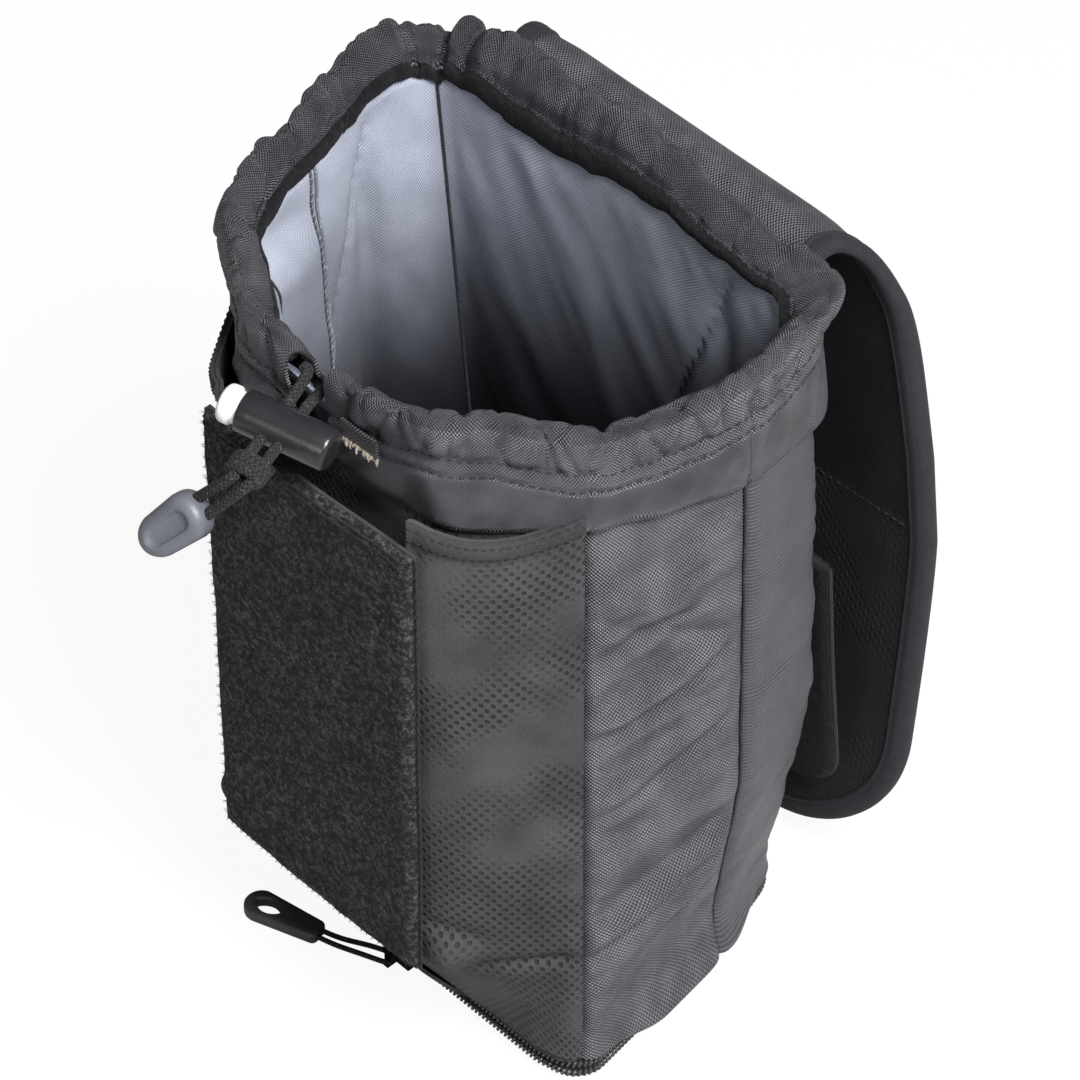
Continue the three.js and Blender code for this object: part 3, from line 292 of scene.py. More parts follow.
def catmull(controls, count):
    """A smooth curve through the controls, whose first axis is the order along it."""
    controls = np.asarray(controls, float)
    places = np.linspace(0, len(controls) - 1, count)
    index = np.minimum(places.astype(int), len(controls) - 2)
    t = (places - index).reshape([-1] + [1] * (controls.ndim - 1))
    before, after = 2 * controls[:1] - controls[1:2], 2 * controls[-1:] - controls[-2:-1]
    padded = np.concatenate([before, controls, after])
    a, b, c, d = (padded[index + k] for k in range(4))
    square, cube = 2 * a - 5 * b + 4 * c - d, 3 * b - a - 3 * c + d
    return 0.5 * (2 * b + (c - a) * t + square * t ** 2 + cube * t ** 3)


# Mesh parts: points, faces and the cloth's own coordinates at each face corner
class Part:
    def __init__(self, points, faces, cloth):
        self.points = np.asarray(points, float).reshape(-1, 3)
        self.faces = faces
        self.cloth = np.asarray(cloth, float).reshape(-1, 2)


def merged(parts):
    points, faces, offset = [], [], 0
    for part in parts:
        points.append(part.points)
        faces.extend([[v + offset for v in face] for face in part.faces])
        offset += len(part.points)
    return Part(np.vstack(points), faces, np.vstack([part.cloth for part in parts]))


def grid_corners(rows, columns):
    r, c = np.meshgrid(np.arange(rows), np.arange(columns), indexing="ij")
    r, c = r.ravel(), c.ravel()
    return np.stack([r, r, r + 1, r + 1], axis=1), np.stack([c, c + 1, c + 1, c], axis=1)


def sheet(outer, inner, cloth, ring=False):
    """The closed sheet between two grids. A ring joins its last column to its first, and its
    cloth coordinates have one column more than its points."""
    rows, columns = outer.shape[:2]
    spans = columns if ring else columns - 1
    layers, faces, corners = rows * columns, [], []

    def quads(side, r, c):
        faces.append(side * layers + r * columns + c % columns)
        corners.append(cloth[r, c])

    r, c = grid_corners(rows - 1, spans)
    quads(0, r, c)
    quads(1, r, c)
    side = np.array([0, 1, 1, 0])
    c = np.arange(spans)[:, None] + np.array([0, 0, 1, 1])
    for row in (0, rows - 1):
        quads(np.broadcast_to(side, c.shape), np.full_like(c, row), c)
    if not ring:
        r = np.arange(rows - 1)[:, None] + np.array([0, 0, 1, 1])
        for column in (0, columns - 1):
            quads(np.broadcast_to(side, r.shape), r, np.full_like(r, column))
    points = np.concatenate([outer.reshape(-1, 3), inner.reshape(-1, 3)])
    return Part(points, np.vstack(faces).tolist(), np.vstack([c.reshape(-1, 2) for c in corners]))


def lofted(rings, cloth=None):
    """A closed body through rings of points, with flat ends."""
    rings = np.asarray(rings, float)
    rows, columns = rings.shape[:2]
    r, c = grid_corners(rows - 1, columns)
    faces = (r * columns + c % columns).tolist()
    if cloth is None:
        middle = rings[rows // 2]
        round_length = np.linalg.norm(middle - np.roll(middle, 1, axis=0), axis=1).sum()
        around = np.linspace(0, round_length, columns + 1)
        cloth = np.stack(np.meshgrid(lengths_along(rings[:, 0]), around, indexing="ij"), axis=-1)
    corners = [cloth[r, c].reshape(-1, 2)]
    for row in (0, rows - 1):
        faces.append([row * columns + k for k in range(columns)])
        corners.append(cloth[row, :columns])
    return Part(rings.reshape(-1, 3), faces, np.vstack(corners))


def tube_rings(path, radii, sides):
    """Rings round a path, carried along it without twisting."""
    path = np.asarray(path, float)
    radii = np.broadcast_to(radii, len(path))
    tangents = directions(path)
    start = np.eye(3)[np.argmin(np.abs(tangents[0]))]
    angles = np.linspace(0, 2 * math.pi, sides, endpoint=False)[:, None]
    rings, side = [], start
    for place, tangent, radius in zip(path, tangents, radii):
        side = side - tangent * np.dot(side, tangent)
        side = side / np.linalg.norm(side)
        other = np.cross(tangent, side)
        rings.append(place + radius * (np.cos(angles) * side + np.sin(angles) * other))
    return np.array(rings)


def tube(path, radii, sides=12):
    return lofted(tube_rings(path, radii, sides))


def stitch(start, end, lift, radius=0.3):
    """One stitch of thread: a short grain that dives at both ends."""
    shares = np.array([0, 0.12, 0.35, 0.65, 0.88, 1])
    heights = np.array([-0.5, 0.1, 0.5, 0.5, 0.1, -0.5]) * radius * 1.4
    widths = np.array([0.35, 0.85, 1, 1, 0.85, 0.35]) * radius
    path = start + (end - start) * shares[:, None] + lift * heights[:, None]
    return tube(path, widths, 6)


def stitch_row(path, lifts, pitch, fill=0.72, radius=0.3):
    """Stitches along a line of points, with the outward direction at each point."""
    length = lengths_along(path)

    def at(values, place):
        return np.array([np.interp(place, length, values[:, i]) for i in range(3)])

    parts = []
    for k in range(int(length[-1] / pitch)):
        start, end = k * pitch, (k + fill) * pitch
        parts.append(stitch(at(path, start), at(path, end), at(lifts, (start + end) / 2), radius))
    return merged(parts)


def grid_normals(grid):
    along = np.gradient(grid, axis=1)
    up = np.gradient(grid, axis=0)
    normals = np.cross(along, up)
    return normals / np.maximum(np.linalg.norm(normals, axis=-1, keepdims=True), 1e-9)


def grid_cloth(grid):
    """Cloth coordinates of a grid: lengths along its middle row and middle column."""
    rows, columns = grid.shape[:2]
    u, v = lengths_along(grid[rows // 2]), lengths_along(grid[:, columns // 2])
    return np.stack(np.meshgrid(u, v), axis=-1)


def piece(name, part, body, look, stands_for=(), smooth_degrees=50):
    """A mesh object of the visual model, riding on a body."""
    material, slot = looks[look]
    mesh = bpy.data.meshes.new(name)
    mesh.from_pydata((part.points * MM).tolist(), [], part.faces)
    layer = mesh.uv_layers.new(name="cloth")
    layer.data.foreach_set("uv", part.cloth.ravel())
    work = bmesh.new()
    work.from_mesh(mesh)
    bmesh.ops.recalc_face_normals(work, faces=work.faces)
    work.to_mesh(mesh)
    work.free()
    mesh.polygons.foreach_set("use_smooth", [True] * len(mesh.polygons))
    mesh.set_sharp_from_angle(angle=math.radians(smooth_degrees))
    mesh.materials.append(material)
    made = new_object(name, mesh)
    if body:
        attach(made, body)
    if stands_for:
        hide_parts(*stands_for)
    return made


# Materials
def add_node(tree, kind, values=(), output=0, **settings):
    """One output of a new shader node, whose inputs are linked or set."""
    made = tree.nodes.new(kind)
    for key, value in settings.items():
        setattr(made, key, value)
    for key, value in (values.items() if isinstance(values, dict) else enumerate(values)):
        if isinstance(value, bpy.types.NodeSocket):
            tree.links.new(value, made.inputs[key])
        else:
            made.inputs[key].default_value = value
    return made.outputs[output]


class Look:
    """A node material with short calls for its nodes."""

    def __init__(self, name, roughness, **sockets):
        self.material = bpy.data.materials.new(name)
        self.material.use_nodes = True
        self.tree = self.material.node_tree
        self.shader = self.tree.nodes["Principled BSDF"]
        self.shader.inputs["Roughness"].default_value = roughness
        for socket, value in sockets.items():
            self.shader.inputs[socket.replace("_", " ")].default_value = value
        self.cloth = self.node("ShaderNodeUVMap", uv_map="cloth")
        self.place = self.node("ShaderNodeTexCoord", output="Object")

    def node(self, kind, values=(), output=0, **settings):
        return add_node(self.tree, kind, values, output, **settings)

    def calc(self, operation, *values, clamp=False):
        return self.node("ShaderNodeMath", values, operation=operation, use_clamp=clamp)

    def split(self, vector):
        made = self.tree.nodes.new("ShaderNodeSeparateXYZ")
        self.tree.links.new(vector, made.inputs[0])
        return made.outputs[0], made.outputs[1], made.outputs[2]

    def noise(self, scale, detail=3, place=None):
        """Smooth noise from 0 to 1. The scale is in cells a millimetre."""
        factor = scale / MM if place is None else scale
        values = {"Vector": self.place if place is None else place, "Scale": factor, "Detail": detail}
        return self.node("ShaderNodeTexNoise", values)

    def spread(self, value, low, high, to_low=0, to_high=1):
        values = [value, low, high, to_low, to_high]
        return self.node("ShaderNodeMapRange", values, interpolation_type="SMOOTHSTEP")

    def mix(self, share, low, high):
        low, high = (c if isinstance(c, bpy.types.NodeSocket) else (*c, 1) for c in (low, high))
        return self.node("ShaderNodeMix", {0: share, 6: low, 7: high}, 2, data_type="RGBA")

    def wave(self, coordinate, pitch):
        """A cosine of a coordinate in millimetres, from -1 to 1."""
        return self.calc("COSINE", self.calc("MULTIPLY", coordinate, 2 * math.pi / pitch))

    def finish(self, colour, height, distance):
        """The material in a colour, with bumps of a height in millimetres."""
        values = dict(Strength=1, Distance=distance * MM, Height=height)
        self.tree.links.new(colour, self.shader.inputs["Base Color"])
        self.tree.links.new(self.node("ShaderNodeBump", values), self.shader.inputs["Normal"])
        return self.material


def basket_weave(name, dark, light, pitch=1.1, depth=0.45, roughness=0.4, gloss=0.5):
    """Nylon woven in small dots that line up along both diagonals."""
    look = Look(name, roughness, Sheen_Weight=0.02, Sheen_Roughness=0.4, Specular_IOR_Level=gloss)
    u, v, _ = look.split(look.cloth)
    dots = look.calc("MULTIPLY", look.wave(u, pitch), look.wave(v, pitch))
    height = look.calc("MULTIPLY_ADD", dots, 0.5, 0.5)
    mottle = look.noise(0.09, 4)
    worn = look.spread(mottle, 0.3, 0.75)
    worn = look.calc("MULTIPLY_ADD", worn, 0.6, 0.55)
    shade = look.calc("MULTIPLY", look.calc("POWER", height, 1.4), worn, clamp=True)
    return look.finish(look.mix(shade, dark, light), height, depth)


def ribbed_nylon(name, dark, light, pitch=1.2, depth=0.25):
    look = Look(name, 0.45, Sheen_Weight=0.02, Sheen_Roughness=0.4)
    u, v, _ = look.split(look.cloth)
    drift = look.calc("MULTIPLY", look.noise(0.12, 3), 1.6)
    rib = look.wave(look.calc("ADD", v, drift), pitch)
    broken = look.calc("MULTIPLY", look.wave(u, pitch * 0.6), 0.3)
    height = look.calc("MULTIPLY_ADD", look.calc("ADD", rib, broken), 0.38, 0.5)
    mottle = look.calc("MULTIPLY", look.noise(0.08, 4), 0.45)
    shade = look.calc("ADD", look.calc("MULTIPLY", height, 0.6), mottle, clamp=True)
    return look.finish(look.mix(shade, dark, light), height, depth)


PIT_WIDTH, PIT_HEIGHT = 3.1, 3.5
PIT_COLOUR = (0.012, 0.012, 0.013)


def pitted_fabric(name, dark, light, pit_share=1.0):
    """Stretch fabric with moulded pits in staggered rows, which fade in patches."""
    look = Look(name, 0.72, Sheen_Weight=0.02, Sheen_Roughness=0.5, Specular_IOR_Level=0.2)
    u, v, _ = look.split(look.cloth)
    lattice = look.calc("MULTIPLY", look.wave(u, PIT_WIDTH), look.wave(v, PIT_HEIGHT))
    pits = look.spread(lattice, 0.1, 0.75)
    patch = look.spread(look.noise(0.03, 2), 0.42, 0.58, 0.05, 1)
    pits = look.calc("MULTIPLY", look.calc("MULTIPLY", pits, patch), pit_share)
    grain = look.noise(1.6, 3)
    mottle = look.calc("MULTIPLY", look.spread(look.noise(0.035, 4), 0.25, 0.75), 0.6)
    shade = look.calc("ADD", look.calc("MULTIPLY", grain, 0.55), mottle, clamp=True)
    base = look.mix(shade, dark, light)
    colour = look.mix(look.calc("MULTIPLY", pits, 0.75), base, PIT_COLOUR)
    height = look.calc("SUBTRACT", look.calc("MULTIPLY", grain, 0.25), pits)
    return look.finish(colour, height, 0.45)


# Painted shade on the lining: the heights in millimetres over which it fades out, and the near-black it
# paints low in the pouch.
PAINTED_SHADE_FROM, PAINTED_SHADE_TO = 108, 236
PAINTED_SHADE_COLOUR = (0.006, 0.006, 0.009)


def twill(name, dark, light, pitch=1.0, depth=0.12):
    """Fine diagonal twill, with painted shade that darkens it towards the bottom of the pouch."""
    look = Look(name, 0.55, Sheen_Weight=0.03, Sheen_Roughness=0.35, Specular_IOR_Level=0.15)
    u, v, _ = look.split(look.cloth)
    rib = look.wave(look.calc("ADD", u, v), pitch)
    thread = look.wave(look.calc("SUBTRACT", v, u), pitch * 0.8)
    height = look.calc("MULTIPLY_ADD", look.calc("MULTIPLY_ADD", thread, 0.3, rib), 0.38, 0.5)
    mottle = look.calc("MULTIPLY", look.noise(0.05, 4), 0.6)
    shade = look.calc("ADD", look.calc("MULTIPLY", height, 0.5), mottle, clamp=True)
    # Painted shade: the colour fades to near-black lower down, starting higher on the right wall than on the
    # left, in place of the shade deep inside the pouch.
    x, _, z = look.split(look.place)
    level = look.calc("MULTIPLY_ADD", x, -0.25, z)
    painted_lit_share = look.calc("POWER", look.spread(level, PAINTED_SHADE_FROM * MM, PAINTED_SHADE_TO * MM), 2)
    cloth = look.mix(shade, dark, light)
    return look.finish(look.mix(painted_lit_share, PAINTED_SHADE_COLOUR, cloth), height, depth)


def brushed_pile(name, dark, light, depth=1.1):
    """Loop fastener: a matted pile in small clumps."""
    look = Look(name, 0.95, Sheen_Weight=0.03, Sheen_Roughness=0.7, Specular_IOR_Level=0.2)
    clumps = look.noise(0.62, 4)
    fibre = look.noise(1.7, 4)
    wide = look.noise(0.05, 3)
    height = look.calc("ADD", look.calc("MULTIPLY", clumps, 0.7), look.calc("MULTIPLY", fibre, 0.45))
    tufts = look.calc("MULTIPLY", look.spread(clumps, 0.38, 0.68), look.spread(fibre, 0.3, 0.7))
    shade = look.calc("MULTIPLY_ADD", fibre, 0.12, look.calc("MULTIPLY", tufts, 0.8))
    shade = look.calc("MULTIPLY", shade, look.spread(wide, 0.3, 0.7, 0.75, 1.1), clamp=True)
    return look.finish(look.mix(shade, dark, light), height, depth)


def woven_tape(name, dark, light, pitch=0.9, depth=0.15):
    look = Look(name, 0.75, Sheen_Weight=0.03, Sheen_Roughness=0.5, Specular_IOR_Level=0.25)
    u, v, _ = look.split(look.cloth)
    ribs = look.calc("MULTIPLY_ADD", look.wave(u, pitch), 0.5, 0.5)
    threads = look.calc("MULTIPLY_ADD", look.wave(v, pitch * 0.8), 0.5, 0.5)
    height = look.calc("MULTIPLY_ADD", threads, 0.4, look.calc("MULTIPLY", ribs, 0.6))
    mottle = look.calc("MULTIPLY", look.noise(0.3, 4), 0.5)
    shade = look.calc("MULTIPLY_ADD", height, 0.5, mottle, clamp=True)
    return look.finish(look.mix(shade, dark, light), height, depth)


def braided_cord(name, dark, light, pitch=1.5, depth=0.35):
    look = Look(name, 0.7, Sheen_Weight=0.03, Sheen_Roughness=0.5, Specular_IOR_Level=0.25)
    u, v, _ = look.split(look.cloth)
    over = look.wave(look.calc("ADD", u, v), pitch)
    under = look.wave(look.calc("SUBTRACT", u, v), pitch)
    height = look.calc("MULTIPLY_ADD", look.calc("MAXIMUM", over, under), 0.5, 0.5)
    ticks = look.spread(look.noise(1.1, 2), 0.56, 0.66)
    ticks = look.calc("MULTIPLY", ticks, 0.6)
    shade = look.calc("ADD", look.calc("MULTIPLY", height, 0.4), ticks, clamp=True)
    return look.finish(look.mix(shade, dark, light), height, depth)


def moulded(name, dark, light, roughness, grain=1.2, depth=0.05, metallic=0):
    look = Look(name, roughness, Metallic=metallic)
    height = look.noise(grain, 4)
    shade = look.noise(0.15, 4)
    return look.finish(look.mix(shade, dark, light), height, depth)


# Each look: how it is made, its material, its slot, its darkest and lightest colours, and settings
PALE_CLOTH = (0.2, 0.2, 0.23)
NEAR_BLACK = (0.006, 0.006, 0.008)
BLACK = (0.002, 0.002, 0.003)
TAPE_BLACK = (0.004, 0.004, 0.005)
STRETCH_DARK = (0.01, 0.0098, 0.0108)
LOOKS = dict(
    nylon=(basket_weave, "shell_nylon_weave", "shell_nylon", NEAR_BLACK, PALE_CLOTH),
    ribbed=(ribbed_nylon, "shell_nylon_ribs", "shell_nylon", NEAR_BLACK, (0.1, 0.1, 0.118)),
    textured=(pitted_fabric, "textured_stretch", "textured_fabric", STRETCH_DARK, (0.075, 0.073, 0.077)),
    plain_textured=(pitted_fabric, "textured_plain", "textured_fabric", STRETCH_DARK,
                    (0.06, 0.058, 0.062), 0.35),
    lid_textured=(pitted_fabric, "lid_stretch", "textured_fabric", BLACK, (0.01, 0.0096, 0.012)),
    # The lining twill carries painted shade that darkens it towards the bottom of the pouch.
    lining=(twill, "lining_twill", "lining_twill", (0.12, 0.131, 0.172), (0.52, 0.55, 0.65)),
    collar=(basket_weave, "collar_inner_weave", "collar_nylon", TAPE_BLACK, (0.12, 0.12, 0.14), 0.95),
    collar_outer=(basket_weave, "collar_weave", "collar_nylon", (0.003, 0.003, 0.004), PALE_CLOTH, 0.95),
    pile=(brushed_pile, "loop_pile", "loop_pile", (0.001, 0.001, 0.001), (0.12, 0.112, 0.115)),
    black_pile=(brushed_pile, "black_loop_pile", "loop_pile", BLACK, (0.014, 0.014, 0.017)),
    hook=(brushed_pile, "hook_field", "hook_fastener", TAPE_BLACK, (0.035, 0.035, 0.037), 0.4),
    lid_lining=(basket_weave, "lid_lining", "lid_lining", NEAR_BLACK, (0.16, 0.16, 0.185), 0.95),
    lid_nylon=(basket_weave, "lid_weave", "shell_nylon", BLACK, (0.014, 0.0135, 0.018), 1.1, 0.45, 0.4, 0.2),
    tape=(woven_tape, "zip_tape", "tape", TAPE_BLACK, (0.025, 0.025, 0.028)),
    binding=(woven_tape, "edge_binding", "binding", TAPE_BLACK, (0.032, 0.032, 0.04), 0.7),
    coil=(moulded, "zip_coil", "zip_coil", (0.006, 0.006, 0.006), (0.1, 0.098, 0.092), 0.4, 1.5),
    slider=(moulded, "slider_enamel", "slider_metal", (0.012, 0.012, 0.013), (0.03, 0.03, 0.032),
            0.32, 1.2, 0.05, 0.8),
    cord=(braided_cord, "braided_cord", "cord", BLACK, (0.055, 0.055, 0.06)),
    grip=(moulded, "grip_plastic", "grip_plastic", (0.03, 0.03, 0.033), (0.06, 0.06, 0.065), 0.45),
    barrel=(moulded, "barrel_plastic", "barrel_plastic", (0.012, 0.012, 0.014), (0.026, 0.026, 0.029), 0.27),
    plunger=(moulded, "plunger_plastic", "plunger_plastic", (0.74, 0.72, 0.7), (0.86, 0.85, 0.83), 0.35),
    steel=(moulded, "spring_steel", "spring_steel", (0.45, 0.45, 0.46), (0.6, 0.6, 0.61),
           0.3, 1.2, 0.05, 1.0),
    cap=(moulded, "cap_rubber", "cap_rubber", (0.085, 0.088, 0.105), (0.135, 0.14, 0.165), 0.42, 1.5, 0.08),
    keeper=(basket_weave, "keeper_tape", "keeper_tape", NEAR_BLACK, (0.12, 0.12, 0.14), 0.95),
    frayed=(braided_cord, "frayed_thread", "keeper_tape", (0.3, 0.25, 0.2), (0.75, 0.66, 0.56), 0.4, 0.1),
    dark_thread=(braided_cord, "dark_thread", "tape", (0.008, 0.008, 0.01), (0.06, 0.06, 0.07), 0.4, 0.1),
    pale_thread=(braided_cord, "pale_thread", "binding", (0.05, 0.05, 0.056), (0.24, 0.24, 0.26), 0.4, 0.1),
    lining_thread=(braided_cord, "lining_thread", "lining_twill", (0.12, 0.13, 0.17), (0.4, 0.43, 0.5),
                   0.5, 0.15),
)


def make_looks():
    return {key: (make(name, *settings), slot) for key, (make, name, slot, *settings) in LOOKS.items()}


# Outer walls: six padded panels that pull in at their seams
SEAM_GAP = 0.3
COLLAR_SEAM_Z = 194.5
WALL_BOTTOM_Z = 9.4
WALL_STEP = 1.15
HEM_LIP = 1.6
SEAM_DIP = 2.0
SEAM_REACH = 1.7
PANEL_MIDDLE_Z = 120
PANEL_PUFF = 1.8
PANEL_THICKNESS = 1.6
SEAM_SEED_STEP = 9
HEM_REACH = 6
HEM_SAG = 6


def wall_grid(first, last, heights, inset, columns):
    rows = []
    for z in heights:
        points = plan_between(z, inset, first, last, columns)
        rows.append(np.column_stack([points, np.full(columns, z)]))
    return np.array(rows)


def seam_width(first, last, z, inset):
    return line_length(plan_between(z, inset, first, last, 60))


def padded_panel(first, last, relief, hem=None):
    """A closed panel between two seams, swelling between its edges."""
    width = seam_width(first, last, PANEL_MIDDLE_Z, 0)
    columns = max(int(width / WALL_STEP), 8) + 1
    rows = int((COLLAR_SEAM_Z - WALL_BOTTOM_Z) / WALL_STEP) + 1
    heights = np.linspace(WALL_BOTTOM_Z, COLLAR_SEAM_Z, rows)
    grid = wall_grid(first, last, heights, 0, columns)
    share = np.linspace(0, 1, columns)[None, :]
    u, z = share * width, heights[:, None]
    edge = np.minimum(u, width - u)
    above, below = z - WALL_BOTTOM_Z, COLLAR_SEAM_Z - z
    ends = np.minimum(above, below)
    quiet = smoothstep(edge, 0.5, 9) * smoothstep(ends, 0, 10)
    rise = PANEL_PUFF * (1 - np.abs(2 * share - 1) ** 3) * smoothstep(ends, 0, 30)
    rise = rise + relief(u, z) * quiet
    nearest = np.round(share) * SEAM_SEED_STEP
    pucker = noise(z / 4.3, nearest, 11) + 0.5 * noise(z / 2.1, nearest, 13)
    rise = rise + 0.5 * pucker * spike(edge, 9) * smoothstep(edge, 0, 3) * smoothstep(ends, 2, 12)
    rise = rise - SEAM_DIP * spike(edge, SEAM_REACH)
    near_hem = spike(above, HEM_REACH)
    rise = rise - 1.2 * spike(below, 1.6) + HEM_LIP * near_hem
    sag = (hem(share) if hem else 0 * share) * near_hem
    rise = rise + 0.35 * sag
    normals = grid_normals(grid)
    outer = grid + normals * rise[..., None]
    inner = outer - normals * PANEL_THICKNESS
    outer[..., 2] -= sag
    inner[..., 2] -= sag
    return sheet(outer, inner, grid_cloth(grid))


SIDE_FOLDS = ((150, 2.2), (122, 3.0), (96, 2.0), (46, 4.6), (30, 2.0))


def side_relief(u, z):
    """Long folds that climb to the right, sharper below, and one near the top that falls."""
    climbing = 3.0 * folds(u, z, 14, 60, 22, 3) + 0.8 * folds(u, z, 6, 30, 14, 9)
    rise = z - 0.42 * u
    lines = 0
    for height, depth in SIDE_FOLDS:
        away = rise - height + 2.5 * noise(u / 14, height, 17)
        fade = 0.55 + 0.45 * noise(u / 18, height / 7, 19)
        lines = lines + depth * fade * (bell(away - 5, 4.5) - bell(away, 2.6))
    falling = 1.8 * bell(z - 178 + 0.5 * u, 5) - 1.3 * bell(z - 167 + 0.5 * u, 3.2)
    return climbing + lines + falling


def gusset_relief(u, z):
    return 1.3 * folds(u, z, 13, 36, 24, 21) + 0.4 * folds(u, z, 5, 20, 12, 23)


def front_relief(u, z):
    return 0.5 * folds(u, z, 16, 50, 10, 31)


def back_relief(u, z):
    return 1.3 * folds(u, z, 22, 60, 15, 41)


SEAM_THREAD = 0.42


def seam_shadow_cords():
    """The turned edges of two panels, standing as a thin dark line in each upright seam, which is also
    painted shadow in the seam's dip.
    """
    seams = [CHEEK_RIGHT, FLANK_RIGHT, REAR_RIGHT, REAR_LEFT, FLANK_LEFT, CHEEK_LEFT]
    heights = np.linspace(WALL_BOTTOM_Z + 0.5, COLLAR_SEAM_Z, 90)
    parts = []
    for corner in seams:
        path = np.array([[*plan(z, 1.1)[seam_index(corner)], z] for z in heights])
        path[:, 0] += 0.15 * noise(heights / 7, 0, 15)
        # A near-black tube in the seam's dip: partly the real seam edge, partly painted shadow.
        parts.append(tube(path, SEAM_THREAD, 8))
    piece("panel_seams_and_shadow", merged(parts), "pouch", "dark_thread")


def side_hem(share):
    return HEM_SAG * smoothstep(share, 0.12, 0.55)


def gusset_hem(share):
    return HEM_SAG * (1 - smoothstep(share, 0.15, 0.7))


def mirrored(hem):
    return lambda share: hem(1 - share)


def make_walls():
    panels = dict(
        front_panel=(CHEEK_LEFT, CHEEK_RIGHT, front_relief, None, "textured", ["foam_front"]),
        side_panel_right=(CHEEK_RIGHT, FLANK_RIGHT, side_relief, side_hem, "nylon", ["foam_right"]),
        rear_gusset_right=(FLANK_RIGHT, REAR_RIGHT, gusset_relief, gusset_hem, "ribbed", []),
        back_panel=(REAR_RIGHT, REAR_LEFT, back_relief, None, "nylon", ["foam_back"]),
        rear_gusset_left=(REAR_LEFT, FLANK_LEFT, gusset_relief, mirrored(gusset_hem), "ribbed", []),
        side_panel_left=(FLANK_LEFT, CHEEK_LEFT, side_relief, mirrored(side_hem), "nylon", ["foam_left"]),
    )
    for name, (first, last, relief, hem, look, foam) in panels.items():
        part = padded_panel(first, last, relief, hem)
        made = piece(f"padded_{name}", part, "pouch", look, [name, *foam])
    seam_shadow_cords()


# Lining: four soft walls and the floor, seen through the mouth
LINING_INSET = 7
LINING_THICKNESS = 0.8
LINING_BOTTOM = 7.6
LINING_LAP = 4.5
LINING_STEP = 1.7
LINING_MIDDLE_Z = 200
LINING_TUCK = 2.2
SEAM_ROWS = slice(4, -1)
LINING_SEAM = 0.45
SEAM_POST = (-65, -21)


def lining_panel(first, last, relief):
    width = seam_width(first, last, LINING_MIDDLE_Z, LINING_INSET)
    columns = int(width / LINING_STEP) + 1
    rows = int((RIM - LINING_BOTTOM) / LINING_STEP)
    top_line = plan_between(TOP_Z, 0, first, last, columns)
    x, y = top_line[:, 0], top_line[:, 1]
    tops = crown_height(x, y) + crest_shift(x, y) - facing_drop(x, y) + LINING_LAP
    along = directions(top_line)
    outward = np.column_stack([along[:, 1], -along[:, 0]]) * cheek_bulge(x, y)[:, None]
    shares = np.linspace(0, 1, rows)
    depth = LINING_INSET + LINING_THICKNESS
    face = np.zeros((rows, columns, 3))
    fine = np.linspace(LINING_BOTTOM, RIM, 70)
    lines = np.array([plan_between(z, depth, first, last, columns) for z in fine])
    for c in range(columns):
        z = LINING_BOTTOM + (tops[c] - LINING_BOTTOM) * shares
        shift = smoothstep(z, BULGE_FROM, BULGE_TO)
        for axis in (0, 1):
            face[:, c, axis] = np.interp(z, fine, lines[:, c, axis]) + outward[c, axis] * shift
        face[:, c, 2] = z
    u = np.linspace(0, width, columns)[None, :]
    z = face[..., 2]
    below = tops[None, :] - z
    edge = np.minimum(u, width - u)
    quiet = smoothstep(edge, 0, 8) * smoothstep(below, 4, 16) * smoothstep(z - LINING_BOTTOM, 0, 12)
    tuck = LINING_TUCK * (1 - smoothstep(below, 2.5, 7))
    inward = relief(u, z, below) * quiet - 0.5 * bell(edge, 2) - tuck
    normals = grid_normals(face)
    front = face - normals * inward[..., None]
    return sheet(front, front + normals * LINING_THICKNESS, grid_cloth(face)), front, normals


def lining_relief(seed):
    def relief(u, z, below):
        gathers = 0.8 * noise(u / 5, below / 40, seed + 5) * bell(below, 22)
        hanging = 1.8 * folds(u, z, 15, 70, 72, seed) + 0.6 * folds(u, z, 7, 40, 60, seed + 7)
        crease = -2.6 * spike(u - 18 - 0.35 * below, 1.6) * smoothstep(below, 4, 14)
        hollow = -4.2 * bell(u - 23 - 0.03 * below, 4) * smoothstep(below, 12, 40)
        return 0.9 + hanging + gathers + crease + hollow
    return relief


def twisted(path, radius, thread, turn, phase):
    """One strand of a twisted pair along a path."""
    path = resample(path, 420)
    angle = np.arange(len(path)) * turn + phase
    side = np.column_stack([np.cos(angle), np.sin(angle), 0 * angle]) * radius
    return tube(path + side, thread, 6)


def make_lining():
    walls = dict(
        lining_front=(CHEEK_LEFT, CHEEK_RIGHT, 51),
        lining_right=(CHEEK_RIGHT, REAR_RIGHT, 57),
        lining_back=(REAR_RIGHT, REAR_LEFT, 63),
        lining_left=(REAR_LEFT, CHEEK_LEFT, 69),
    )
    corners = []
    for name, (first, last, seed) in walls.items():
        part, face, normals = lining_panel(first, last, lining_relief(seed))
        piece(f"cloth_{name}", part, "pouch", "lining", [name])
        corners.append(tube(face[4:, 0] - normals[4:, 0] * 0.2, LINING_SEAM, 8))
    away = np.hypot(face[-1, :, 0] - SEAM_POST[0], face[-1, :, 1] - SEAM_POST[1])
    column = int(np.argmin(away))
    line = face[SEAM_ROWS, column] - normals[SEAM_ROWS, column] * 0.5
    for label, look, phase in (("pale", "lining_thread", 0), ("dark", "pale_thread", math.pi)):
        thread = twisted(line, 0.25, 0.27, 1.3, phase)
        piece(f"lining_seam_{label}", thread, "pouch", look)
    edge = face[SEAM_ROWS, column - 1] - normals[SEAM_ROWS, column - 1] * 0.4
    piece("lining_seam_edge", tube(edge, LINING_SEAM, 8), "pouch", "lining_thread")
    piece("lining_corners", merged(corners), "pouch", "dark_thread")


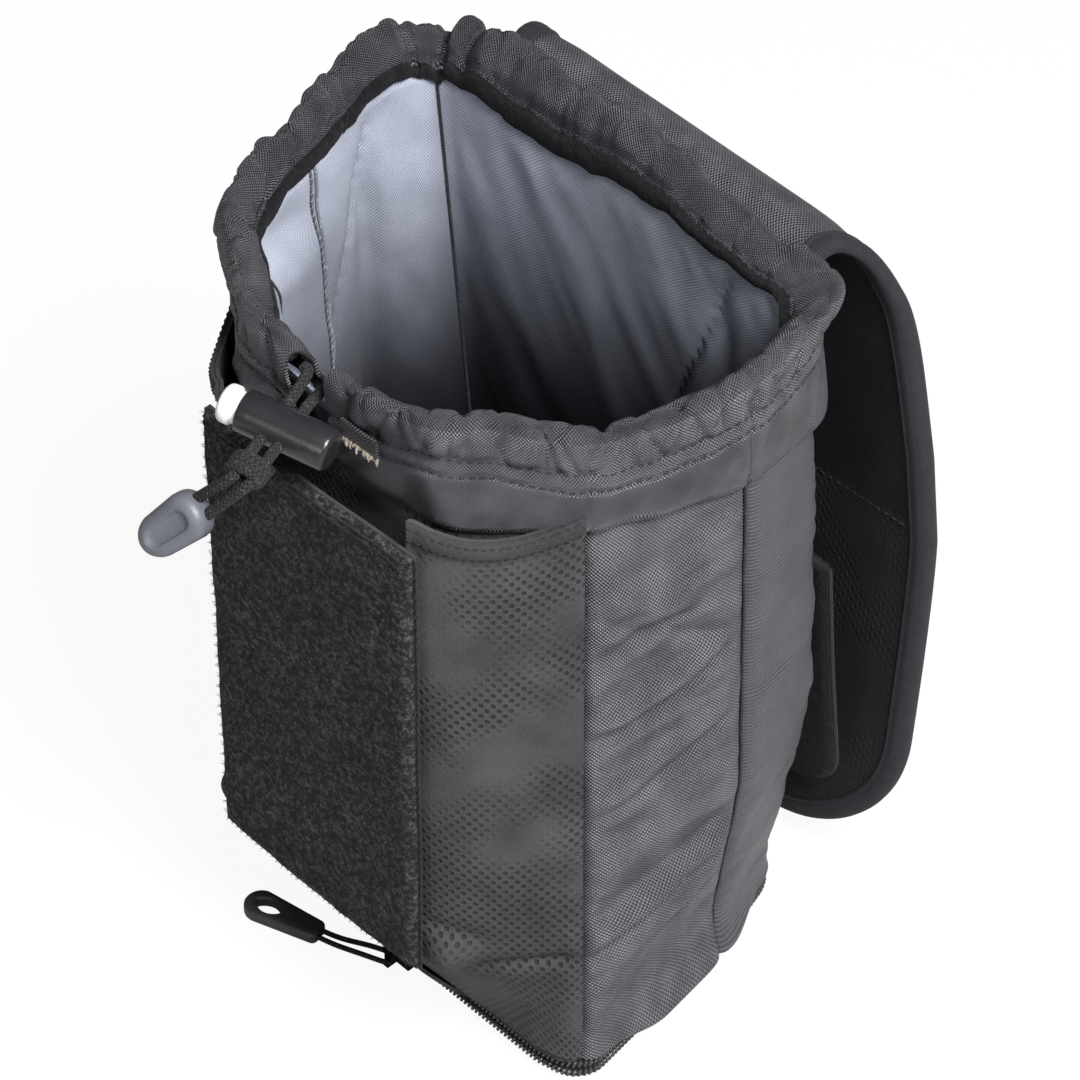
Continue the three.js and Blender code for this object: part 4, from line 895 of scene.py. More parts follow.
# Collar: nylon folded over the drawcord, open at the notch
CORD = 3
COLLAR_STATIONS = 640
COLLAR_ROWS = 84
COLLAR_CLOTH = 0.9
COLLAR_POINT = 4.5
COLLAR_POINT_REACH = 9
LOWER_ROW_DROP = 18
UPPER_ROW_DROP = 13.5
INNER_ROW_DROP = 12.5
SKIRT_DROP = 22
CROWN_DIP_LIMIT = 1.4
LOWER_ROW, UPPER_ROW, INNER_ROW = 5 / 19, 7 / 19, 16 / 19
COLLAR_SPLIT, BAND_FROM = 0.53, 0.85
PINCHES = ((-5, 5, 2.2), (-17, 3.4, 2.2), (7, 3.6, 2.4))
DRAWCORD_DEPTH = 2.9
DRAWCORD_DROP = 6


def collar_line(z, count):
    """The collar's plan line from the right of the notch round to its left."""
    loop = plan(z)
    front = loop[0][1]
    line = np.vstack([[NOTCH_X + NOTCH_HALF, front], loop, [NOTCH_X - NOTCH_HALF, front]])
    points = resample(line, count)
    along = directions(points)
    return points, np.column_stack([-along[:, 1], along[:, 0]])


def lean_at(x, y):
    return COLLAR_POINT * mound(x, y, (PEAK_X, MOUTH_BACK), COLLAR_POINT_REACH)


class Collar:
    """Plan lines, crown and ruffles of the collar, and places on it."""

    def __init__(self, count):
        self.high, self.high_in = collar_line(TOP_Z, count)
        self.low, self.low_in = collar_line(SHELL_TOP, count)
        x, y = self.high[:, 0], self.high[:, 1]
        self.s = s = lengths_along(self.high)
        front = smoothstep(-y, 20, 60)
        wave = 1.5 * noise(s / 17, 0, 81) + 0.8 * noise(s / 7, 0, 83)
        corner = np.argmin(np.hypot(x - x[y > 0].min(), y - MOUTH_BACK))
        self.pinch = 1.6 * creases(s, 0 * s, 31, 2.2, 0, 89)
        for shift, depth, width in PINCHES:
            self.pinch = self.pinch - depth * spike(s - (s[corner] + shift), width)
        wave = wave + 0.55 * self.pinch
        limit = CROWN_DIP_LIMIT + 1.6 * smoothstep(-self.pinch, 0.8, 2)
        self.top = crown_height(x, y) + crest_shift(x, y) + np.maximum(wave, -limit) + 0.8 * front
        self.lean = lean_at(x, y)
        self.drop = facing_drop(x, y)
        self.bulge = cheek_bulge(x, y)
        self.sway = (0.9 + 0.9 * front) * noise(s / 17, 0, 85)

    def at(self, depth, z):
        """Place in space of a depth inwards from the wall and a height, one for each station."""
        share = np.minimum(TOP_Z - z, TOP_Z) / (TOP_Z - SHELL_TOP)
        share = np.maximum(share, 0)[..., None]
        depth = (np.asarray(depth) - self.bulge * smoothstep(z, BULGE_FROM, BULGE_TO))[..., None]
        plan_point = lerp(self.high + self.high_in * depth, self.low + self.low_in * depth, share)
        return np.concatenate([plan_point, np.broadcast_to(z, depth.shape[:-1])[..., None]], axis=-1)


def collar_controls(collar):
    """Depth and height of the folded cloth's section, from the outer seam to the inner edge."""
    top, lean, sway = collar.top, collar.lean, collar.sway
    low = np.full_like(top, COLLAR_SEAM_Z)
    row, upper = top - LOWER_ROW_DROP, top - UPPER_ROW_DROP
    drop = collar.drop / SKIRT_DROP
    controls = [
        (1.1, low - 0.6), (-1.0, low + 0.9), (-2.2, low + 4), (-2.2, (low + row) / 2 + 1), (-1.5, row - 2),
        (-1.0, row), (-1.5, (row + upper) / 2), (-0.7, upper), (-1.5 - 0.2 * lean, upper + 2.6),
        (-2.2 - 0.5 * lean + sway, top - 7), (-2.1 - 0.9 * lean + sway, top - 3),
        (-0.9 - lean + sway, top - 0.7), (1.2 - lean + sway, top + 0.1),
        (3.8 - 0.95 * lean + sway, top - 1.1), (6.2 - 0.9 * lean + 0.8 * sway, top - 4 * drop - 0.4),
        (7.9 - 0.7 * lean + 0.4 * sway, top - 8 * drop),
        (8.2 - 0.5 * lean, top - INNER_ROW_DROP * drop), (9.7 - 0.3 * lean, top - 15 * drop),
        (9.9, top - 18.5 * drop), (9.3, top - collar.drop),
    ]
    return np.array([[np.broadcast_to(d, top.shape), z] for d, z in controls])


def collar_surface(collar):
    curve = catmull(collar_controls(collar), COLLAR_ROWS)
    depth, z = curve[:, 0], curve[:, 1]
    grid = collar.at(depth, z)
    share = np.linspace(0, 1, COLLAR_ROWS)[:, None]
    s = collar.s[None, :]
    outer = smoothstep(share, 0.37, 0.44) * (1 - smoothstep(share, 0.6, 0.7))
    facing = smoothstep(share, 0.56, 0.66) * (1 - 0.5 * smoothstep(share, 0.86, 0.95))
    low = bell(share - 0.14, 0.09)
    gathers = 1.6 * creases(s, share - 0.36, 7.5, 0.9, 34, 93) + 0.4 * noise(s / 3.4, share * 9, 95)
    slanting = 2.1 * folds(s, share * 60, 6.5, 24, 52, 97)
    behind = smoothstep(collar.high[:, 1], BACK_FROM, BACK_TO)[None, :]
    inside = (1.5 - 0.9 * behind) * creases(s, share - 0.8, 12, 1.0, -34, 101)
    inside = inside + 0.35 * noise(s / 2.6, share * 9, 103) + 0.4 * noise(s / 6, share * 12, 99)
    ripples = low * (1.3 * noise(s / 9, share * 4, 91) + 2.0 * folds(s, share * 60, 6, 26, 34, 105))
    sharp = creases(s + 26 * share, share, 11, 1.1, 10, 111)
    sharp = sharp + 0.8 * creases(s - 34 * share + 30, share, 14, 1.0, 10, 113)
    face = smoothstep(share, 0.3, 0.4) * (1 - smoothstep(share, 0.62, 0.72))
    ripples = ripples + outer * (gathers + slanting) + facing * inside + (1.6 - 0.9 * behind) * face * sharp
    ripples = ripples + 0.5 * (outer + facing) * collar.pinch[None, :]
    near_rows = bell(share - LOWER_ROW, 0.02) + bell(share - UPPER_ROW, 0.02)
    ripples = ripples + 0.35 * near_rows * noise(s / 1.5, share * 3, 107)
    loop = plan(TOP_Z)
    for corner in (CHEEK_RIGHT, FLANK_RIGHT, REAR_LEFT, FLANK_LEFT):
        place = loop[seam_index(corner)]
        middle = collar.s[int(np.argmin(np.hypot(*(collar.high - place).T)))]
        seam = spike(s - middle - 4 * (share - 0.2), 0.8)
        ripples = ripples - 1.3 * seam * (1 - smoothstep(share, 0.44, 0.52))
    ends = smoothstep(np.minimum(s, s[0, -1] - s), 0, 5)
    normals = grid_normals(grid)
    return grid + normals * (ripples * ends)[..., None], normals


def make_collar():
    collar = Collar(COLLAR_STATIONS)
    grid, normals = collar_surface(collar)
    split, edge = int(COLLAR_ROWS * COLLAR_SPLIT), int(COLLAR_ROWS * BAND_FROM)
    cloth = grid_cloth(grid)
    inner = grid - normals * COLLAR_CLOTH

    def strip(first, last):
        rows = slice(first, last)
        return sheet(grid[rows], inner[rows], cloth[rows])

    outside = strip(0, split + 1)
    piece("collar_outer_cloth", outside, "pouch", "collar_outer", ["drawstring_collar"])
    piece("collar_inner_cloth", strip(split, edge + 1), "pouch", "collar")
    piece("collar_inner_band", strip(edge, COLLAR_ROWS), "pouch", "black_pile")
    rows = []
    for share in (LOWER_ROW, UPPER_ROW, INNER_ROW):
        row = int(round(share * (COLLAR_ROWS - 1)))
        rows.append(stitch_row(grid[row], normals[row], 2.5, radius=0.2))
    piece("collar_stitches", merged(rows), "pouch", "dark_thread")
    depth = DRAWCORD_DEPTH - 0.93 * collar.lean + 0.8 * collar.sway
    route = collar.at(depth, collar.top - DRAWCORD_DROP)[4:-4]
    cord = tube(resample(route, 260), CORD / 2, 12)
    piece("drawcord_in_collar", cord, "pouch", "cord", ["drawcord_loop"])


# Front pocket
POCKET_FACE_Y = -80
POCKET_HALF = 38
POCKET_TOP = 194
POCKET_FOOT = 46
POCKET_FABRIC = 1.2
WING_START_X = 34
WING_CLEARANCE = 1.2
WING_TOP = 202.5
WING_SAG = 5
HEM_HEIGHT = 5.5
FIBRE_COUNT = 12000


def clear_of_shell(z, points, clearance):
    """Plan points moved square to the cheek until they clear the shell."""
    loop = plan(z, -clearance)
    following = np.roll(loop, -1, axis=0)
    along = following - loop
    outward = math.sqrt(0.5)
    moved = []
    for x, y in points:
        away = loop - (x, y)
        det = outward * (along[:, 1] + along[:, 0])
        det = np.where(np.abs(det) < 1e-9, 1e-9, det)
        distance = (away[:, 0] * along[:, 1] - away[:, 1] * along[:, 0]) / det
        share = -(away[:, 0] + away[:, 1]) * outward / det
        hits = distance[(share >= 0) & (share <= 1) & (distance > 0)]
        shift = hits.max() if len(hits) else 0
        moved.append((x + outward * shift, y - outward * shift))
    return np.array(moved)


def wing_grid(side, depth, heights_of, columns, rows):
    """Grid of a pocket wing, from behind the loop panel to the cheek seam."""
    shares = np.linspace(0, 1, columns)
    tops = heights_of(shares)
    fine = np.linspace(SHELL_BOTTOM, WING_TOP + 2, 60)
    lines = []
    start_y = POCKET_FACE_Y + POCKET_FABRIC + SEAM_GAP
    foot_y = LEVELS[0]["front"] - POCKET_FABRIC - WING_CLEARANCE
    for z in fine:
        seam = plan(z, depth - WING_CLEARANCE - POCKET_FABRIC)[seam_index(CHEEK_RIGHT)]
        tuck = np.clip((POCKET_FOOT - z) / (POCKET_FOOT - SHELL_BOTTOM), 0, 1)
        edge_y = lerp(start_y, foot_y, tuck) + depth
        line = np.column_stack([lerp(WING_START_X, seam[0], shares), lerp(edge_y, seam[1], shares)])
        lines.append(clear_of_shell(z, line, WING_CLEARANCE + POCKET_FABRIC - depth))
    lines = np.array(lines)
    grid = np.zeros((rows, columns, 3))
    for c in range(columns):
        z = np.linspace(SHELL_BOTTOM + 1.5, tops[c], rows)
        grid[:, c, 0] = side * np.interp(z, fine, lines[:, c, 0])
        grid[:, c, 1] = np.interp(z, fine, lines[:, c, 1])
        grid[:, c, 2] = z
    return grid


def wing_relief(share, z):
    """Bulge of the stretch fabric, its slack folds, and the pucker at the tuck near the foot."""
    bulge = 2.6 * np.sin(np.pi * share ** 0.75) ** 1.3 * smoothstep(z, 30, 90)
    slack = 1.1 * folds(share * 45, z, 16, 70, 78, 111) * np.sin(np.pi * share)
    pucker = 5 * bell(share - 0.2, 0.13) * bell(z - 50, 7)
    crease = -1.5 * bell(share - 0.24, 0.2) * bell(z - 61 + 10 * share, 3)
    low_fold = -2.4 * bell(z - 41 - 10 * share, 2.2) * smoothstep(share, 0.1, 0.5)
    return bulge + slack + pucker + crease + low_fold


def make_pocket():
    def tops(shares):
        return WING_TOP - WING_SAG * np.sin(np.pi * shares)

    columns, rows = 44, 150
    for side, label in ((1, "right"), (-1, "left")):
        back = wing_grid(side, POCKET_FABRIC, tops, columns, rows)
        face = wing_grid(side, 0, tops, columns, rows)
        share = np.linspace(0, 1, columns)[None, :]
        z = face[..., 2]
        normals = grid_normals(face) * side
        rise = wing_relief(share, z) * smoothstep(share, 0, 0.12) * smoothstep(1 - share, 0, 0.12)
        rise = rise - 0.8 * bell(1 - share, 0.05)
        face = face + normals * rise[..., None]
        back = back + normals * rise[..., None]
        wing = sheet(face, back, grid_cloth(face))
        piece(f"wing_cloth_{label}", wing, "pouch", "textured", [f"pocket_wing_{label}"])
        drop = tops(share[0])[None, :] - z
        hem_rows = np.where(drop[:, 0] <= HEM_HEIGHT)[0]
        edge, outward = face[hem_rows], normals[hem_rows]
        swell = 0.45 * np.sin(np.linspace(0, np.pi, len(hem_rows)))[:, None, None]
        hem_face = edge + outward * (1.1 + swell)
        hem = sheet(hem_face, edge + outward * 0.2, grid_cloth(hem_face))
        piece(f"hem_fold_{label}", hem, "pouch", "plain_textured", [f"pocket_hem_{label}"])
        middle = (len(hem_rows) - 1) // 2 + 1
        threads = [stitch_row(hem_face[row], outward[row], 2.1, radius=0.18) for row in (0, middle)]
        piece(f"hem_stitches_{label}", merged(threads), "pouch", "dark_thread")
    make_loop_panel()
    make_foot()


def facing_front(x_line, z_line, y_of, front, back):
    """Grids of the face and the back of a sheet facing -Y, at depths added to a middle surface."""
    x, z = np.meshgrid(x_line, z_line)
    y = y_of(x, z)
    depth = front(x, z) if callable(front) else front
    return np.stack([x, y + depth, z], axis=-1), np.stack([x, y + back, z], axis=-1)


def make_loop_panel():
    half, top, foot = POCKET_HALF, POCKET_TOP, POCKET_FOOT
    x_line = np.linspace(-half, half, 62)
    z_line = np.linspace(foot, top, 118)

    def edge(x, z):
        return np.minimum(np.minimum(half - np.abs(x), top - z), z - foot)

    def bow(x, z):
        return POCKET_FACE_Y - 0.9 * (1 - (x / half) ** 2) + 0.5 * noise(x / 24, z / 30, 121)

    def pile_face(x, z):
        lumps = 0.22 * noise(x / 2.2, z / 2.2, 123) + 0.3 * noise(x / 6, z / 6, 125)
        return -2.4 * smoothstep(edge(x, z), -1.2, 2.2) - lumps * smoothstep(edge(x, z), 0, 2)

    face, back = facing_front(x_line, z_line, bow, pile_face, 0.15)
    piece("loop_pile_panel", sheet(face, back, grid_cloth(face)), "pouch", "pile", ["loop_panel"])
    face, back = facing_front(x_line, z_line, bow, 0.3, 1.3)
    cloth = sheet(face, back, grid_cloth(face))
    piece("pocket_face_cloth", cloth, "pouch", "plain_textured", ["pocket_face"])
    index = np.arange(FIBRE_COUNT)

    def scattered(step):
        return (index * step) % 1

    spot_x = (scattered(0.754877666) * 2 - 1) * (half + 0.2)
    spot_z = foot + scattered(0.569840291) * (top - foot)
    spin = scattered(0.618033989) * 2 * math.pi
    size = 0.8 + 0.9 * scattered(0.381966)
    level = bow(spot_x, spot_z) + pile_face(spot_x, spot_z)
    fibres = []
    for x, y, z, angle, long in zip(spot_x, level, spot_z, spin, size):
        run = np.array([math.cos(angle), -0.75, math.sin(angle)]) * long
        root = np.array([x, y + 0.15, z])
        across = np.array([-math.sin(angle), 0, math.cos(angle)]) * 0.09
        deep = np.array([0, 0.12, 0])
        fibres.append((root - across, root + across, root + deep + run * 0.3, root + run))
    points = np.array(fibres).reshape(-1, 3)
    faces = []
    for a in range(0, 4 * FIBRE_COUNT, 4):
        faces += [[a, a + 1, a + 2], [a, a + 3, a + 1], [a + 1, a + 3, a + 2], [a, a + 2, a + 3]]
    cloth = points[np.array(faces).ravel()][:, [0, 2]]
    piece("loop_fibres", Part(points, faces, cloth), "pouch", "pile")
    threads = []
    for inset in (1.3, 2.9):
        x = np.linspace(-half + 1, half - 1, 80)
        z = np.full_like(x, top - inset)
        y = bow(x, z) + pile_face(x, z) - 0.1
        threads.append(tube(np.column_stack([x, y, z]), 0.28, 6))
    side_z = np.linspace(foot + 0.5, top - 0.5, 150)
    for shift in (0.1, 1.0):
        x = half + shift + 0.25 * np.sin(side_z * 1.9 + shift * 3)
        y = bow(np.full_like(side_z, half), side_z) + 0.2 + 0.1 * np.sin(side_z * 2.3)
        threads.append(tube(np.column_stack([x, y, side_z]), 0.3, 6))
    piece("loop_panel_threads", merged(threads), "pouch", "binding")


def make_foot():
    half = WING_START_X - SEAM_GAP
    x_line = np.linspace(-half, half, 50)
    z_line = np.linspace(SHELL_BOTTOM + 0.6, POCKET_FOOT - 0.3, 34)
    low_y = LEVELS[0]["front"] - POCKET_FABRIC - WING_CLEARANCE

    def slope(x, z):
        share = (POCKET_FOOT - z) / (POCKET_FOOT - SHELL_BOTTOM)
        bulge = 1.6 * np.sin(np.pi * np.clip(share, 0, 1))
        return lerp(POCKET_FACE_Y, low_y, share) - bulge + 0.4 * noise(x / 12, z / 10, 131)

    face, back = facing_front(x_line, z_line, slope, 0, POCKET_FABRIC)
    piece("foot_cloth", sheet(face, back, grid_cloth(face)), "pouch", "textured", ["pocket_foot"])


# Zip round the base, its slider and pull
COIL_LOW = 2.6
COIL_HEIGHT = 2.4
COIL_SPLIT = 1.4
COIL_PROUD = 1.2
COIL_PITCH = 1.45
TAPE_INSET = 1.5
TAPE_THICKNESS = 0.6
TAPE_BOTTOM = 0.6
TAPE_TOP = 20
TAPE_GAP = 0.15
THREAD_RADIUS = 0.46
TURN_POINTS = 9
ZIP_GAP_START = 9.5
ZIP_GAP_WIDTH = 13


def ring_sheet(bottom, top, inset, thickness, count=240, rows=12, relief=None):
    """A closed band round the pouch, on its outline moved in by an inset."""
    heights = np.linspace(bottom, top, rows)

    def ring(z, more):
        shift = relief(z) if relief else 0
        return np.column_stack([plan_ring(z, inset + shift + more, count), np.full(count, z)])

    outer = np.array([ring(z, 0) for z in heights])
    inner = np.array([ring(z, thickness) for z in heights])
    length = line_length(np.vstack([outer[0], outer[0][:1]]))
    u, v = np.meshgrid(np.linspace(0, length, count + 1), heights)
    return sheet(outer, inner, np.stack([u, v], axis=-1), ring=True)


def coil(bottom, gap):
    """A helical zip coil round the base, with an optional gap where the slider is parked."""
    middle = bottom + COIL_HEIGHT / 2
    outline = plan_ring(middle, 0, 720)
    start = int(np.argmin(np.abs(outline[:, 0] - ZIP_GAP_START) + 1000 * (outline[:, 1] > 0)))
    outline = np.roll(outline, -start, axis=0)
    line = resample(np.vstack([outline, outline[:1]]), 1400)
    if gap:
        steps = lengths_along(line)
        line = line[steps < steps[-1] - ZIP_GAP_WIDTH]
    turns = int(line_length(line) / COIL_PITCH)
    line = resample(line, turns * TURN_POINTS)
    along = directions(line)
    outward = np.column_stack([along[:, 1], -along[:, 0]])
    angle = np.linspace(0, 2 * math.pi * turns, len(line))
    reach = COIL_HEIGHT / 2 - 0.45
    depth = COIL_PROUD - COIL_HEIGHT / 2 + reach * np.cos(angle)
    path = np.column_stack([line + outward * depth[:, None], middle + reach * np.sin(angle)])
    return tube(path, THREAD_RADIUS, 5)


def make_zip():
    split = COIL_LOW + COIL_HEIGHT + COIL_SPLIT / 2
    halves = dict(upper=("pouch", split + COIL_SPLIT / 2, False), lower=("popdown_base", COIL_LOW, True))
    tapes = dict(upper=(split + TAPE_GAP, TAPE_TOP), lower=(TAPE_BOTTOM, split - TAPE_GAP))
    for name, (low, high) in tapes.items():
        tape = ring_sheet(low, high, TAPE_INSET, TAPE_THICKNESS)
        piece(f"tape_ring_{name}", tape, halves[name][0], "tape", [f"zip_tape_{name}"])
    for name, (body, bottom, gap) in halves.items():
        piece(f"coil_teeth_{name}", coil(bottom, gap), body, "coil", [f"zip_coil_{name}"])


SLIDER_X = 3
BAIL_Y = -60.2
BAIL_Z = 5.7
BAIL_PIN = 1.6
PULL_CORD = 1.6
PULL_CORD_LENGTH = 22
PULL_TURN_DEGREES = 195
GRIP_LENGTH = 25
GRIP_ROOT = 7
GRIP_TIP = 10
GRIP_THICKNESS = 4
GRIP_SOCKET = 4


def pull_place(points):
    turn = math.radians(PULL_TURN_DEGREES)
    points = np.asarray(points, float)
    x = points[:, 0] * math.cos(turn) - points[:, 1] * math.sin(turn) + SLIDER_X
    y = points[:, 0] * math.sin(turn) + points[:, 1] * math.cos(turn) + BAIL_Y
    return np.column_stack([x, y, points[:, 2]])


def pull_cord_route():
    spread = BAIL_PIN / 2 + SEAM_GAP + PULL_CORD / 2
    grip_z = GRIP_THICKNESS / 2 + SEAM_GAP
    mouth = PULL_CORD_LENGTH + GRIP_SOCKET

    def strand(side):
        return [
            (0, side * spread, BAIL_Z),
            (PULL_CORD_LENGTH * 0.3, side * spread, lerp(BAIL_Z, grip_z, 0.3)),
            (PULL_CORD_LENGTH * 0.75, side * spread * 0.75, lerp(BAIL_Z, grip_z, 0.9)),
            (mouth - SEAM_GAP, side * spread * 0.65, grip_z),
        ]

    near = 0.72 * spread
    turn = [(-near, near, BAIL_Z), (-spread, 0, BAIL_Z), (-near, -near, BAIL_Z)]
    return pull_place(resample(catmull(strand(1)[::-1] + turn + strand(-1), 200), 110))


def make_pull_cord():
    route = pull_cord_route()
    loop = tube(route, PULL_CORD / 2, 10)
    return piece("pull_cord_loop", loop, "zip_pull", "cord", ["zip_pull_cord"]), route


def curve_solid(name, loops, thickness, bevel):
    """A flat outline with holes, given thickness and rounded edges, as mesh data."""
    curve = bpy.data.curves.new(name, "CURVE")
    curve.dimensions = "2D"
    curve.fill_mode = "BOTH"
    curve.extrude = (thickness / 2 - bevel) * MM
    curve.bevel_depth = bevel * MM
    curve.bevel_resolution = 3
    curve.offset = -bevel * MM
    for loop in loops:
        spline = curve.splines.new("POLY")
        spline.points.add(len(loop) - 1)
        places = [(x * MM, y * MM, 0, 1) for x, y in loop]
        spline.points.foreach_set("co", np.ravel(places))
        spline.use_cyclic_u = True
    holder = new_object(name, curve)
    bpy.context.view_layer.update()
    ready = holder.evaluated_get(bpy.context.evaluated_depsgraph_get())
    made = bpy.data.meshes.new_from_object(ready)
    bpy.data.objects.remove(holder)
    work = bmesh.new()
    work.from_mesh(made)
    bmesh.ops.remove_doubles(work, verts=work.verts, dist=1e-6)
    points = np.array([v.co[:] for v in work.verts]) / MM
    faces = [[v.index for v in face.verts] for face in work.faces]
    work.free()
    return points, faces


def arc(centre, radius, start, end, count):
    angles = np.radians(np.linspace(start, end, count))
    return centre + radius * np.column_stack([np.cos(angles), np.sin(angles)])


def make_grip():
    end = PULL_CORD_LENGTH + GRIP_LENGTH
    tip = GRIP_TIP / 2
    root, round_off = GRIP_ROOT / 2, 2
    outline = np.vstack([
        arc((PULL_CORD_LENGTH + round_off, round_off - root), round_off, 180, 270, 6),
        arc((end - tip, 0), tip, -86, 86, 24),
        arc((PULL_CORD_LENGTH + round_off, root - round_off), round_off, 90, 180, 6),
    ])
    angles = np.linspace(0, 2 * math.pi, 32, endpoint=False)
    eye_x = end - 7.5 + 4 * np.cos(angles)
    eye_y = 2.3 * np.sin(angles) * (1 - 0.25 * np.cos(angles) ** 2)
    eye = np.column_stack([eye_x, eye_y])
    points, faces = curve_solid("grip_outline", [outline, eye], GRIP_THICKNESS, 1.1)
    points[:, 2] += GRIP_THICKNESS / 2 + SEAM_GAP
    corners = np.concatenate([points[face][:, :2] for face in faces])
    part = Part(pull_place(points), faces, corners)
    piece("pull_grip", part, "zip_pull", "grip", ["zip_pull_grip"], 60)


# Pop-down base
BASE_INSET = 2.4
CLOTH_TOP = 1.5
PAD_BOTTOM, PAD_TOP = 1.9, 7.3
PAD_CROWN = 1.2
SKIRT_BOTTOM, SKIRT_TOP = 7.2, 19
SKIRT_PLEATS = 3
EDGE_ROUND = 0.8 / 60


def disc(bottom, top, crown, rings=16, count=160):
    """A pad in the shape of the base, with a rounded edge and a crowned top."""
    outline = plan_ring(0, BASE_INSET, count)
    centre = outline.mean(axis=0)
    half, middle = (top - bottom) / 2, (top + bottom) / 2
    shares = np.linspace(0.04, 1, rings)
    loops = [(share * 0.995, bottom) for share in shares]
    for angle in np.radians(np.linspace(-80, 80, 7)):
        out = EDGE_ROUND * (math.cos(angle) - 1)
        loops.append((1 + out, middle + half * math.sin(angle) / math.sin(math.radians(80))))
    loops += [(share * 0.995, top + crown * (1 - share ** 4)) for share in shares[::-1]]
    rings = [np.column_stack([centre + (outline - centre) * share, np.full(count, z)]) for share, z in loops]
    grid = np.array(rings)
    flat = np.concatenate([grid, grid[:, :1]], axis=1)[..., :2]
    return lofted(grid, flat)


def make_base():
    cloth = disc(0, CLOTH_TOP, 0)
    piece("base_cloth", cloth, "popdown_base", "nylon", ["base_panel"])
    pad = disc(PAD_BOTTOM, PAD_TOP, PAD_CROWN)
    # The pad takes the lining look and lies below the heights of its painted shade, so it is painted
    # near-black.
    pad = piece("base_pad", pad, "popdown_base", "lining", ["base_foam", "base_lining"])

    def pleats(z):
        turn = (z - SKIRT_BOTTOM) / (SKIRT_TOP - SKIRT_BOTTOM) * SKIRT_PLEATS
        return 0.5 + 0.5 * math.cos(turn * 2 * math.pi)

    skirt = ring_sheet(SKIRT_BOTTOM, SKIRT_TOP, BASE_INSET, 0.5, 240, 40, pleats)
    made = piece("pleated_gusset", skirt, None, "nylon", ["expansion_gusset"])
    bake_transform(made)


# Lid: one padded flap in three skins, each crossing one fold
LID_LINE = [(36.5, 202), (37, 216), (39, 227.5), (43.5, 233), (50, 232), (57, 225), (62.5, 213),
            (66, 197), (67.5, 163), (68.3, 112), (65.8, 58), (59.8, 6)]
LID_TILT = 6.5
LID_TILT_REACH = 95
LID_HALF = 78.5
LID_CORNER = 50
LID_BINDING = 6.5
BINDING_OVERLAP = 0.6
ROOT_SPLIT_Z = 224
TOP_SPLIT_Z = 136


class Lid:
    """Centre line of the lid, its half width and thickness along it, and places on it."""

    def __init__(self):
        self.line = resample(catmull(LID_LINE, 400), 500)
        self.u = lengths_along(self.line)
        self.length = self.u[-1]
        along = directions(self.line)
        self.normal = np.column_stack([-along[:, 1], along[:, 0]])
        peak = int(np.argmax(self.line[:, 1]))
        falling = self.line[peak:, 1]
        self.peak = self.u[peak]

        def at_height(z):
            return float(np.interp(-z, -falling, self.u[peak:]))

        self.root_split = at_height(ROOT_SPLIT_Z)
        self.top_split = at_height(TOP_SPLIT_Z)
        falling_u = [at_height(z) for z in (209, 186, 158, 130)]
        self.width_at = [0, self.peak, *falling_u], [50, 56, 65, 70, 75.5, LID_HALF]
        falling_u = [at_height(z) for z in (220, 192, 20)]
        self.thick_at = [0, self.peak, *falling_u, self.length], [2, 2.6, 3.4, 5.2, 5.2, 4.2]

    def half(self, u, inset=0):
        width = np.interp(u, *self.width_at) - inset
        radius = LID_CORNER - inset
        into = np.clip(u - (self.length - LID_CORNER), 0, radius)
        return width - radius + np.sqrt(radius ** 2 - into ** 2)

    def thickness(self, u):
        return np.interp(u, *self.thick_at)

    def at(self, x, u, n):
        """Points across, along and out of the lid."""
        x, u, n = np.broadcast_arrays(x, u, n)
        soft = 0.7 * noise(x / 34, u / 40, 141) * smoothstep(u, self.peak, self.peak + 30)
        y, z = (np.interp(u, self.u, self.line[:, k]) + (n + soft) * np.interp(u, self.u, self.normal[:, k])
                for k in (0, 1))
        fade = smoothstep(LID_TILT_REACH - u, 0, LID_TILT_REACH)
        z = z - LID_TILT * fade * np.clip(x / 60, -1, 1)
        return np.stack([x, y, z], axis=-1)


def lid_face(lid, start, end, side):
    """One cloth face of the lid between two stations: side 1 is the lining, -1 the outside."""
    last = min(end, lid.length - LID_BINDING + BINDING_OVERLAP)
    rows = max(int((last - start) / 1.6), 8)
    u = np.linspace(start, last, rows)[:, None]
    half = lid.half(u, LID_BINDING - BINDING_OVERLAP)
    share = np.linspace(-1, 1, 90)[None, :]
    x = half * share
    edge = (1 - np.abs(share)) * half
    near_end = lid.length - LID_BINDING - u if end >= lid.length else 100 + 0 * u
    inset = np.minimum(edge, near_end)
    pad = lid.thickness(u) / 2 + 0.7 * smoothstep(inset, 0, 12) - 0.5 * bell(inset, 1.2)
    ripple = 0.35 * folds(x, u, 14, 50, 12 * side, 151 + side) * smoothstep(inset, 0, 10)
    face = lid.at(x, u, side * (pad + ripple))
    back = lid.at(x, u, side * (pad - 1.3))
    return sheet(face, back, paired(x, u))


def binding_section(thickness):
    """Closed section of the folded edge tape: distance out from its inner edge, and height."""
    half = thickness / 2 + 0.55
    flat = [(0, half - 0.5), (0.8, half + 0.1), (1.4, half - 0.18), (2.2, half), (4, half + 0.1)]
    curve = []
    for angle in np.radians(np.linspace(80, -80, 9)):
        out = LID_BINDING - half * 0.9 * (1 - math.cos(angle))
        curve.append((out, half * math.sin(angle)))
    return flat + curve + [(out, -height) for out, height in flat[::-1]]


def binding(lid, places, outward):
    """The edge tape swept along points (x, u) of the lid's outline."""
    rings = []
    for (x, u), (out_x, out_u) in zip(places, outward):
        out, height = np.transpose(binding_section(lid.thickness(u)))
        out = out - LID_BINDING
        rings.append(lid.at(x + out * out_x, u + out * out_u, height))
    return lofted(rings)


def side_binding(lid, start, end, side):
    u = np.linspace(start, end, max(int((end - start) / 2), 6))
    return binding(lid, paired(side * lid.half(u), u), paired(side, 0 * u))


